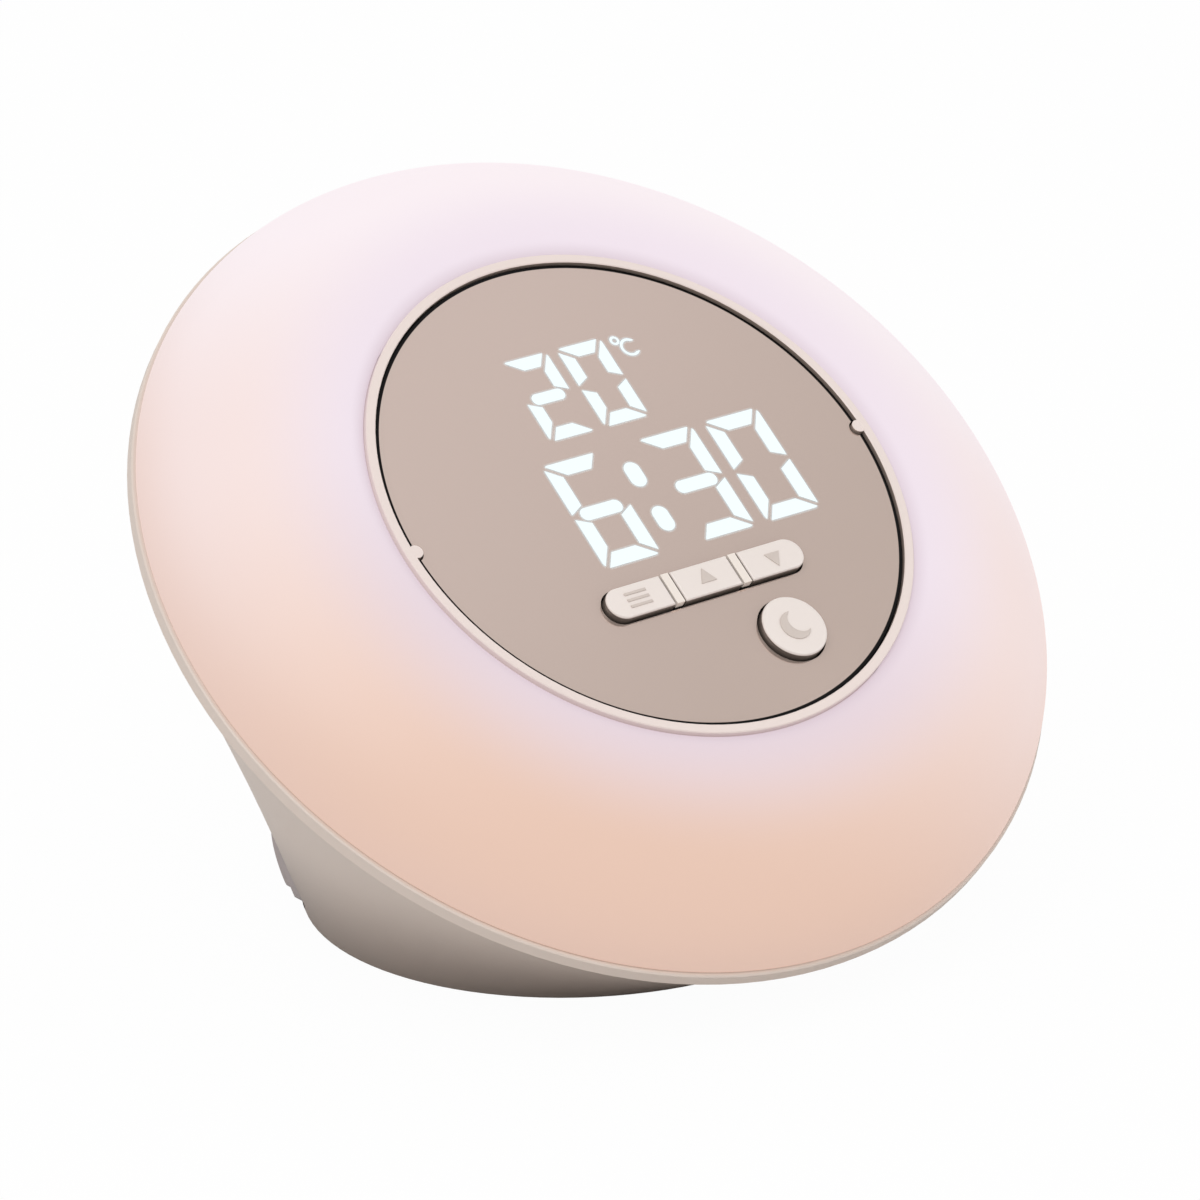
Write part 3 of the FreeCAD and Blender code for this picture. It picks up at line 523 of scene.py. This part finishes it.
@dataclass(frozen=True)
class WovenFinish(Finish):
    """Fine woven cloth behind the speaker slots."""

    gap: Color = srgb(24, 24, 24)
    weave_scale: float = 2600.0 / 6

    def base(self, sheet: Sheet) -> object:
        """Threads lighter than the gaps between them."""
        where = sheet.add("TexCoord").outputs["Object"]
        warp, weft = (sheet.add("TexWave", {"Vector": where, "Scale": self.weave_scale}, wave_type="BANDS",
                                bands_direction=way).outputs["Fac"] for way in ("X", "Z"))
        return sheet.mix(sheet.math("MULTIPLY", warp, weft), self.gap, self.color)


@dataclass(frozen=True)
class BoardFinish(Finish):
    """Solder mask with faint copper runs under it."""

    track: Color = srgb(40, 96, 58)
    track_scale: float = 260.0
    track_width: float = 0.08

    def base(self, sheet: Sheet) -> object:
        """Runs in two directions."""
        where = sheet.add("TexCoord").outputs["Object"]
        runs = sheet.add("TexBrick", {"Vector": where, "Scale": self.track_scale,
                                      "Mortar Size": self.track_width}).outputs["Fac"]
        return sheet.mix(runs, self.color, self.track)


FINISHES: dict[str, Finish] = {
    "diffuser": GlowFinish("frosted_glow_painted_shade", srgb(245, 228, 228), roughness=0.5, specular=0.3, tone=0.0),
    "shell": ShellFinish("beige_shell_painted_shade", srgb(211, 197, 187), roughness=0.42, tone=0.03),
    "trim": BezelFinish("beige_trim_painted_shade", srgb(221, 207, 201), roughness=0.36, tone=0.03),
    # Ribs: painted shade in the grooves on their walls
    "rib": StepFinish("beige_ribs_painted_shade", srgb(226, 216, 207), roughness=0.4, height=-0.55,
                      below=srgb(48, 43, 40)),
    # Key caps: painted shade on their side walls
    "keycap": StepFinish("beige_keys_painted_shade", srgb(222, 212, 206), roughness=0.36, height=0.46, blur=0.16,
                         below=srgb(84, 75, 69)),
    # Key symbols: painted shade, darker than the caps' own colour
    "symbol": Finish("key_symbols_painted_shade", srgb(196, 184, 176), roughness=0.4),
    "mirror_glass": MirrorFinish("rose_half_mirror_painted_reflection_and_shade", srgb(230, 209, 199), roughness=0.1, metallic=0.75,
                                 grain_depth=0.0, tone=0.0),
    "foam": Finish("gasket_foam", srgb(22, 21, 21), roughness=0.9, grain=1400.0, grain_depth=0.0001),
    "white_moulding": HubFinish("white_reflector", srgb(238, 238, 235), roughness=0.5),
    "circuit_board": BoardFinish("solder_mask", srgb(28, 76, 44), roughness=0.3, coat=0.3),
    "led_package": Finish("light_packages", srgb(247, 240, 205), roughness=0.3),
    "display_black": Finish("display_black", srgb(18, 18, 19), roughness=0.7),
    "lit_light_bar": LitFinish("lit_bars", srgb(40, 44, 45), roughness=0.4, tone=0.0),
    "halo": HaloFinish("bar_halo", srgb(40, 44, 45), roughness=0.6, tone=0.0, core=srgb(228, 233, 234),
                       glow=0.9),
    "dark_light_bar": Finish("milky_bars", srgb(196, 190, 184), roughness=0.35),
    "switch_black": Finish("switch_black", srgb(24, 24, 25), roughness=0.55),
    "screw_steel": Finish("zinc_steel", srgb(178, 178, 180), roughness=0.3, metallic=1.0),
    "socket_metal": Finish("tinned_shell", srgb(190, 190, 192), roughness=0.25, metallic=1.0),
    "cell_metal": Finish("cell_can", srgb(196, 196, 198), roughness=0.28, metallic=1.0),
    "panel_grey": Finish("grey_panel", srgb(168, 158, 157), roughness=0.4),
    "foot_rubber": Finish("foot_rubber", srgb(88, 83, 80), roughness=0.85, grain=900.0, grain_depth=0.00006),
    "lead_sleeve": Finish("lead_sleeve", srgb(226, 226, 224), roughness=0.4),
    "speaker_frame": Finish("speaker_frame", srgb(34, 34, 35), roughness=0.45, metallic=0.4),
    "speaker_paper": Finish("speaker_paper", srgb(30, 30, 31), roughness=0.9, grain=700.0,
                            grain_depth=0.00008),
    "grille_cloth": WovenFinish("grille_cloth", srgb(62, 60, 59), roughness=0.95),
}
MADE: dict[str, bpy.types.Material] = {}


def material_for(finish: str) -> bpy.types.Material:
    """Give the material of a finish, building it on first use.

    Args:
        finish: Name of the finish.

    Returns:
        The material.
    """
    if finish not in MADE:
        MADE[finish] = FINISHES[finish].build()
    return MADE[finish]


def dress(piece: bpy.types.Object, finish: str) -> None:
    """Put one finish on a whole piece.

    Args:
        piece: The piece.
        finish: Name of the finish.
    """
    if not piece.material_slots:
        piece.data.materials.append(material_for(finish))
    for place in piece.material_slots:
        place.material = material_for(finish)


def take_up(piece: bpy.types.Object) -> None:
    """Select only this piece and make it active.

    Args:
        piece: The piece.
    """
    bpy.ops.object.select_all(action="DESELECT")
    piece.select_set(True)
    bpy.context.view_layer.objects.active = piece


def edit(piece: bpy.types.Object, selected: bool = True) -> None:
    """Go into edit mode on one piece, with all or nothing selected.

    Args:
        piece: The piece.
        selected: Whether all of it is selected.
    """
    take_up(piece)
    bpy.ops.object.mode_set(mode="EDIT")
    bpy.ops.mesh.select_mode(type="VERT")
    bpy.ops.mesh.select_all(action="SELECT" if selected else "DESELECT")


def leave_edit() -> None:
    """Go back to object mode."""
    bpy.ops.object.mode_set(mode="OBJECT")


def register(piece: bpy.types.Object, name: str, body: str, finish: str) -> bpy.types.Object:
    """Name a finished piece, dress it and let it ride on its body.

    Args:
        piece: The finished piece, at the origin.
        name: Its name.
        body: CAD body that it moves with.
        finish: Name of its finish.

    Returns:
        The same piece.
    """
    piece.name = name
    piece.data.name = name
    dress(piece, finish)
    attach(piece, body)
    log.info("made %s with %d faces", name, len(piece.data.polygons))
    return piece


def merged_copy(node: str) -> bpy.types.Object:
    """Copy a CAD node's mesh into a new piece and merge the copy's loose triangles.

    Args:
        node: Name of the CAD node.

    Returns:
        The new piece, at the origin.
    """
    piece = bpy.data.objects.new(node + "_copy", frame["nodes"][node].data.copy())
    bpy.context.collection.objects.link(piece)
    edit(piece)
    bpy.ops.mesh.remove_doubles(threshold=MERGE_DISTANCE)
    leave_edit()
    bpy.ops.mesh.customdata_custom_splitnormals_clear()
    return piece


def lathe(outline: list[Place], steps: int) -> bpy.types.Object:
    """Turn a closed outline about the face's axis, as on a lathe.

    Args:
        outline: Radius and height of each corner in millimetres, in the face frame.
        steps: Number of steps in the full turn.

    Returns:
        The turned piece, still in the face frame.
    """
    bpy.ops.object.select_all(action="DESELECT")
    first = Vector((outline[0][0] * MM, 0, outline[0][1] * MM))
    bpy.ops.mesh.primitive_plane_add(size=MM, location=(0, 0, 0))
    piece = bpy.context.object
    edit(piece)
    bpy.ops.mesh.merge(type="CENTER")
    bpy.ops.transform.translate(value=first)
    at = first
    for radius, height in outline[1:] + outline[:1]:
        corner = Vector((radius * MM, 0, height * MM))
        bpy.ops.mesh.extrude_region_move(TRANSFORM_OT_translate={"value": corner - at})
        at = corner
    bpy.ops.mesh.select_all(action="SELECT")
    bpy.ops.mesh.remove_doubles(threshold=MERGE_DISTANCE)
    bpy.ops.mesh.spin(steps=steps, angle=2 * math.pi, center=(0, 0, 0), axis=(0, 0, 1))
    bpy.ops.mesh.select_all(action="SELECT")
    bpy.ops.mesh.remove_doubles(threshold=MERGE_DISTANCE)
    bpy.ops.mesh.normals_make_consistent(inside=False)
    leave_edit()
    return piece


def smooth(piece: bpy.types.Object, degrees: float) -> None:
    """Shade a piece smoothly except over sharp edges.

    Args:
        piece: The piece.
        degrees: Angle from which an edge counts as sharp.
    """
    take_up(piece)
    bpy.ops.object.shade_smooth_by_angle(angle=math.radians(degrees))


def lay_on_face(piece: bpy.types.Object) -> None:
    """Move a piece drawn in the face frame to its place on the clock.

    Args:
        piece: The piece, which ends at the origin with its mesh in place.
    """
    piece.matrix_world = FACE_MATRIX
    take_up(piece)
    bpy.ops.object.transform_apply(location=True, rotation=True, scale=True)


def bezier(start: Vector, handle: Vector, far_handle: Vector, end: Vector, count: int) -> list[Place]:
    """Find points along a smooth curve in the plane of radius and height.

    Args:
        start: First point.
        handle: From the first point to its handle.
        far_handle: From the last point to its handle.
        end: Last point.
        count: Number of points.

    Returns:
        Radius and height of each point.
    """
    points = interpolate_bezier(start, start + handle, end + far_handle, end, count)
    return [(p.x, p.y) for p in points]


@dataclass
class GlowDome:
    """Puffy diffuser ring round the mirror."""

    inner_radius: float = 46.75
    start_drop: float = 0.9
    edge_radius: float = 78.1
    edge_drop: float = 19.0
    edge_chamfer: float = 0.3
    rise: Place = (6.6, 5.2)
    fall: Place = (-1.1, 12.5)
    wall: float = 1.8
    flange_depth: float = 5.2
    skirt_depth: float = 2.4
    skirt_wall: float = 1.45
    ledge: float = 1.85
    curve_points: int = 44
    steps: int = 200
    sharp: float = 35.0

    def outline(self) -> list[Place]:
        """Find the corners of the dome's wall.

        Returns:
            Radius and height of each, from the mirror side over the crown to the skirt and back.
        """
        top = Vector((self.inner_radius, -self.start_drop, 0))
        brim = Vector((self.edge_radius, self.edge_chamfer - self.edge_drop, 0))
        outside = bezier(top, Vector((*self.rise, 0)), Vector((*self.fall, 0)), brim, self.curve_points)
        skirt_out = self.edge_radius - self.ledge
        skirt_in = skirt_out - self.skirt_wall
        low = -self.edge_drop - self.skirt_depth
        foot = [(self.edge_radius - self.edge_chamfer, -self.edge_drop), (skirt_out, -self.edge_drop),
                (skirt_out, low), (skirt_in, low)]
        flange = self.inner_radius + self.wall
        inner_top = Vector((flange, -self.start_drop - self.wall, 0))
        inner_end = Vector((skirt_in, -self.edge_drop, 0))
        inner_fall = Vector((self.fall[0], self.fall[1] - self.wall, 0))
        inner_rise = Vector((self.rise[0], self.rise[1] - self.wall / 2, 0))
        inside = bezier(inner_end, inner_fall, inner_rise, inner_top, self.curve_points // 2)
        shelf = -self.start_drop - self.flange_depth
        return outside + foot + inside + [(flange, shelf), (self.inner_radius, shelf)]

    def make(self) -> None:
        """Turn the dome and put it in place of the CAD one."""
        dome = lathe(self.outline(), self.steps)
        smooth(dome, self.sharp)
        lay_on_face(dome)
        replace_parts(register(dome, "glow_dome", ROOT, "diffuser"), "diffuser_dome")


@dataclass
class MirrorFace:
    """Mirror, its trim ring and the figures that shine through it.

    The bars lie bars_below the mirror's front. Their light is drawn just proud of it, with the
    glow's films under it, each a layer_gap lower than the last. A glow ring is a distance that
    films are moved by and the strength of each.
    """

    bars_below: float = 1.65
    proud: float = 0.06
    glow_proud: float = 0.03
    glow_rings: tuple[Place, ...] = ((0.2, 0.2), (0.4, 0.13))
    ring_steps: int = 6
    layer_gap: float = 0.001
    front_share: float = 0.99
    flat_angle: float = 1.0

    def flat_fronts(self) -> bpy.types.Object:
        """Copy only the front faces of the light bars, as flat outlines.

        Returns:
            The new piece, where the bars are.
        """
        film = merged_copy("lit_segments")
        edit(film, selected=False)
        bpy.ops.mesh.select_mode(type="FACE")
        leave_edit()
        for face in film.data.polygons:
            face.select = face.normal.dot(FACE_NORMAL) < self.front_share
        bpy.ops.object.mode_set(mode="EDIT")
        bpy.ops.mesh.delete(type="FACE")
        bpy.ops.mesh.select_all(action="SELECT")
        bpy.ops.mesh.dissolve_limited(angle_limit=math.radians(self.flat_angle))
        leave_edit()
        return film

    def figures(self) -> None:
        """Make the lit bars as seen in the mirror's surface."""
        bars = self.flat_fronts()
        edit(bars)
        bpy.ops.transform.translate(value=FACE_NORMAL * (self.bars_below + self.proud) * MM)
        leave_edit()
        register(bars, "figure_light", ROOT, "lit_light_bar")

    def glow(self) -> None:
        """Make the soft light round the bars: faint films of them, each moved a little to one side."""
        film = self.flat_fronts()
        turn = FACE_MATRIX.to_3x3()
        edit(film)
        bpy.ops.transform.translate(value=FACE_NORMAL * (self.bars_below + self.glow_proud) * MM)
        at = Vector((0, 0, 0))
        strengths = [0.0]
        for distance, strength in self.glow_rings:
            for step in range(self.ring_steps):
                angle = 2 * math.pi * step / self.ring_steps
                drop = self.layer_gap * len(strengths)
                place = Vector((distance * math.cos(angle), distance * math.sin(angle), -drop))
                bpy.ops.mesh.duplicate_move(TRANSFORM_OT_translate={"value": turn @ (place - at) * MM})
                at = place
                strengths.append(strength)
        leave_edit()
        lit = film.data.attributes.new("glow", "FLOAT", "POINT")
        heights = [point.co.dot(FACE_NORMAL) for point in film.data.vertices]
        top = max(heights)
        for point, height in zip(lit.data, heights):
            point.value = strengths[round((top - height) / (self.layer_gap * MM))]
        register(film, "figure_glow", ROOT, "halo")

    def make(self) -> None:
        """Make the figures and dress the mirror and its ring."""
        dress(frame["nodes"]["mirror_panel"], "mirror_glass")
        dress(frame["nodes"]["bezel_ring"], "trim")
        self.figures()
        self.glow()


@dataclass
class KeyPad:
    """Caps of the keys with raised generic symbols.

    A symbol's foot lies inside its cap. The bars have a length, a width and a pitch, the arrow a
    radius, and the moon a radius, the radius of the bite out of it and how far the bite is moved.
    """

    top: float = 0.75
    symbol_height: float = 0.18
    symbol_foot: float = 0.3
    symbol_edge: float = 0.05
    edge_steps: int = 2
    sharp: float = 40.0
    places: dict[Key, Place] = field(default_factory=lambda: {
        Key.MODE: (-13.65, -18.85), Key.UP: (0.0, -18.85), Key.DOWN: (13.65, -18.85),
        Key.SNOOZE: (9.8, -31.3)})
    bar: tuple[float, float, float] = (4.2, 0.46, 1.15)
    arrow_radius: float = 1.75
    moon: tuple[float, float, float] = (2.6, 2.15, 1.25)
    moon_steps: int = 72

    @property
    def deep(self) -> float:
        """Depth of a symbol from its top to its foot."""
        return self.symbol_height + self.symbol_foot

    @property
    def middle(self) -> float:
        """Height of a symbol's middle over the face plane."""
        return self.top + self.symbol_height - self.deep / 2

    def block(self, size: Place, at: Place) -> bpy.types.Object:
        """Make one raised bar.

        Args:
            size: Its length and width.
            at: Its middle on the face.

        Returns:
            The bar.
        """
        bpy.ops.object.select_all(action="DESELECT")
        bpy.ops.mesh.primitive_cube_add(size=1, location=(at[0] * MM, at[1] * MM, self.middle * MM))
        piece = bpy.context.object
        piece.scale = (size[0] * MM, size[1] * MM, self.deep * MM)
        bpy.ops.object.transform_apply(location=True, rotation=True, scale=True)
        return piece

    def round_block(self, corners: int, radius: float, at: Place, depth: float,
                    turn: float = 0.0) -> bpy.types.Object:
        """Make one raised disc, or a shape with few corners.

        Args:
            corners: Number of corners.
            radius: Radius through the corners.
            at: Its middle on the face.
            depth: Its depth.
            turn: Turn about the face's normal, in radians.

        Returns:
            The disc.
        """
        bpy.ops.object.select_all(action="DESELECT")
        bpy.ops.mesh.primitive_cylinder_add(vertices=corners, radius=radius * MM, depth=depth * MM,
                                            location=(at[0] * MM, at[1] * MM, self.middle * MM),
                                            rotation=(0, 0, turn))
        bpy.ops.object.transform_apply(location=True, rotation=True, scale=True)
        return bpy.context.object

    def menu_bars(self, at: Place) -> bpy.types.Object:
        """Make three short bars.

        Args:
            at: Their middle on the face.

        Returns:
            The bars as one piece.
        """
        length, width, pitch = self.bar
        bars = [self.block((length, width), (at[0], at[1] + step * pitch)) for step in (-1, 0, 1)]
        bpy.ops.object.select_all(action="DESELECT")
        for piece in bars:
            piece.select_set(True)
        bpy.context.view_layer.objects.active = bars[0]
        bpy.ops.object.join()
        return bars[0]

    def crescent(self, at: Place) -> bpy.types.Object:
        """Make a crescent: a disc with a smaller disc cut out of its side.

        Args:
            at: The disc's middle on the face.

        Returns:
            The crescent.
        """
        radius, bite_radius, shift = self.moon
        disc = self.round_block(self.moon_steps, radius, at, self.deep)
        bite_at = (at[0] + shift, at[1] + shift / 2)
        bite = self.round_block(self.moon_steps, bite_radius, bite_at, self.deep * 2)
        take_up(disc)
        cutter = disc.modifiers.new("bite", "BOOLEAN")
        cutter.operation = "DIFFERENCE"
        cutter.object = bite
        bpy.ops.object.modifier_apply(modifier="bite")
        bpy.data.objects.remove(bite, do_unlink=True)
        return disc

    def symbol(self, key: Key) -> bpy.types.Object:
        """Make the symbol of a key.

        Args:
            key: The key.

        Returns:
            The symbol, in the face frame.
        """
        at = self.places[key]
        if key is Key.MODE:
            return self.menu_bars(at)
        if key is Key.SNOOZE:
            return self.crescent(at)
        return self.round_block(3, self.arrow_radius, at, self.deep, 0.0 if key is Key.UP else math.pi)

    def make(self) -> None:
        """Dress the caps and put a symbol on each."""
        for key in Key:
            node, body = key.value
            dress(frame["nodes"][node], "keycap")
            mark = self.symbol(key)
            take_up(mark)
            edge = mark.modifiers.new("edge", "BEVEL")
            edge.width = self.symbol_edge * MM
            edge.segments = self.edge_steps
            bpy.ops.object.modifier_apply(modifier="edge")
            smooth(mark, self.sharp)
            lay_on_face(mark)
            register(mark, key.name.lower() + "_symbol", body, "symbol")
        dress(frame["nodes"]["key_frame"], "rib")


@dataclass
class Housing:
    """Shell, rear panel, foot and the cloth behind the speaker slots."""

    cloth_radius: float = 17.6
    cloth_front: float = 39.3
    cloth_height: float = 50.0
    cloth_thickness: float = 0.35
    cloth_hem: float = 1.2
    cloth_steps: int = 96
    sharp: float = 40.0

    def cloth(self) -> None:
        """Make the round of woven cloth over the loudspeaker."""
        bpy.ops.object.select_all(action="DESELECT")
        bpy.ops.mesh.primitive_circle_add(vertices=self.cloth_steps, radius=self.cloth_radius * MM,
                                          fill_type="NGON",
                                          location=(0, self.cloth_front * MM, self.cloth_height * MM),
                                          rotation=(-math.pi / 2, 0, 0))
        piece = bpy.context.object
        bpy.ops.object.transform_apply(location=True, rotation=True, scale=True)
        edit(piece)
        bpy.ops.mesh.inset(thickness=self.cloth_hem * MM)
        leave_edit()
        wall = piece.modifiers.new("thickness", "SOLIDIFY")
        wall.thickness = self.cloth_thickness * MM
        bpy.ops.object.modifier_apply(modifier="thickness")
        smooth(piece, self.sharp)
        register(piece, "grille_cloth", ROOT, "grille_cloth")

    def make(self) -> None:
        """Dress the outside and add the cloth."""
        dress(frame["nodes"]["rear_shell"], "shell")
        dress(frame["nodes"]["base_cover"], "shell")
        dress(frame["nodes"]["rear_panel"], "panel_grey")
        dress(frame["nodes"]["foot_pad"], "foot_rubber")
        self.cloth()


@dataclass
class Works:
    """What lies inside and behind the face."""

    def make(self) -> None:
        """Dress every node that no other class has dressed, by the record's own slots."""
        dressed = set(MADE.values())
        slots = {row["node"]: row["material_slot"] for row in frame["record"]["subparts"]}
        for name, node in frame["nodes"].items():
            if not any(place.material in dressed for place in node.material_slots):
                dress(node, slots[name])


@dataclass(frozen=True)
class Lamp:
    """A soft square lamp that points at the clock; places and sizes in metres, power in watts."""

    name: str
    at: tuple[float, float, float]
    size: float
    power: float
    mirrored: bool = True
    target: tuple[float, float, float] = (0.0, 0.0, 0.06)

    def make(self) -> None:
        """Add the lamp; one that isn't mirrored lights without showing in glossy surfaces."""
        light = bpy.data.lights.new(self.name, "AREA")
        light.size = self.size
        light.energy = self.power
        lamp = bpy.data.objects.new(self.name, light)
        lamp.location = self.at
        lamp.visible_glossy = self.mirrored
        lamp.rotation_euler = (Vector(self.target) - Vector(self.at)).to_track_quat("-Z", "Y").to_euler()
        bpy.context.collection.objects.link(lamp)


@dataclass
class Studio:
    """Floor, soft light and the camera."""

    camera_at: tuple[float, float, float] = (-0.4586, -0.6111, 0.3324)
    camera_right: tuple[float, float, float] = (0.78877, -0.61390, -0.03125)
    camera_up: tuple[float, float, float] = (0.23596, 0.25544, 0.93759)
    camera_back: tuple[float, float, float] = (-0.56760, -0.74691, 0.34634)
    lens: float = 150.0
    sensor: float = 36.0
    floor_size: float = 12.0
    floor_height: float = -0.0001
    floor_color: Color = (0.72, 0.71, 0.70, 1)
    floor_white: float = 0.97
    world_level: float = 0.62
    lamps: tuple[Lamp, ...] = (
        Lamp("key_light", (-0.7, -0.5, 1.1), 0.9, 9.0),
        Lamp("fill_light", (0.9, -0.8, 0.7), 1.0, 4.0),
        Lamp("back_light", (0.2, 1.1, 0.9), 1.0, 4.0, mirrored=False))

    def seen(self, sheet: Sheet) -> bpy.types.NodeSocket:
        """Tell the camera's own rays, and those through clear pieces, from light that bounces.

        Args:
            sheet: Sheet of the material or world.

        Returns:
            Socket that is 1 for such rays.
        """
        path = sheet.add("LightPath")
        return sheet.math("MAXIMUM", path.outputs["Is Camera Ray"], path.outputs["Is Transmission Ray"])

    def floor(self) -> None:
        """Make a plain pale floor that looks all but white, with next to no shadow."""
        bpy.ops.object.select_all(action="DESELECT")
        bpy.ops.mesh.primitive_plane_add(size=self.floor_size, location=(0, 0, self.floor_height))
        plane = bpy.context.object
        plane.name = "studio_floor"
        material = bpy.data.materials.new("studio_floor")
        material.use_nodes = True
        material.node_tree.nodes.clear()
        sheet = Sheet(material.node_tree)
        plain = sheet.add("BsdfDiffuse", {"Color": self.floor_color})
        white = sheet.add("Emission", {"Color": (1, 1, 1, 1), "Strength": 1.0})
        share = sheet.math("MULTIPLY", self.seen(sheet), self.floor_white)
        both = sheet.add("MixShader", {0: share, 1: plain.outputs[0], 2: white.outputs[0]})
        out = sheet.add("OutputMaterial")
        sheet.tree.links.new(both.outputs[0], out.inputs["Surface"])
        plane.data.materials.append(material)

    def world(self) -> None:
        """Make it white behind the object, with a plain soft level for its light."""
        world = bpy.data.worlds.new("studio")
        bpy.context.scene.world = world
        world.use_nodes = True
        world.node_tree.nodes.clear()
        sheet = Sheet(world.node_tree)
        whiter = sheet.math("MULTIPLY", self.seen(sheet), 1.0 - self.world_level)
        strength = sheet.math("ADD", self.world_level, whiter)
        sky = sheet.add("Background", {"Color": (1, 1, 1, 1), "Strength": strength})
        out = sheet.add("OutputWorld")
        sheet.tree.links.new(sky.outputs[0], out.inputs["Surface"])

    def camera(self) -> None:
        """Put the camera where the photo was taken from."""
        lens = bpy.data.cameras.new("photo_view")
        lens.lens = self.lens
        lens.sensor_width = self.sensor
        camera = bpy.data.objects.new("photo_view", lens)
        axes = Matrix((self.camera_right, self.camera_up, self.camera_back)).transposed()
        camera.matrix_world = Matrix.Translation(self.camera_at) @ axes.to_4x4()
        bpy.context.collection.objects.link(camera)
        bpy.context.scene.camera = camera

    def make(self) -> None:
        """Set the whole studio up."""
        self.floor()
        self.world()
        for lamp in self.lamps:
            lamp.make()
        self.camera()
        bpy.context.scene.view_settings.view_transform = "Standard"


def main() -> None:
    """Build the clock's looks in order."""
    logging.basicConfig(level=logging.INFO, format="%(message)s")
    for assembly in (GlowDome(), MirrorFace(), KeyPad(), Housing(), Works(), Studio()):
        assembly.make()
        log.info("finished %s", type(assembly).__name__)


if __name__ == "__main__":
    main()
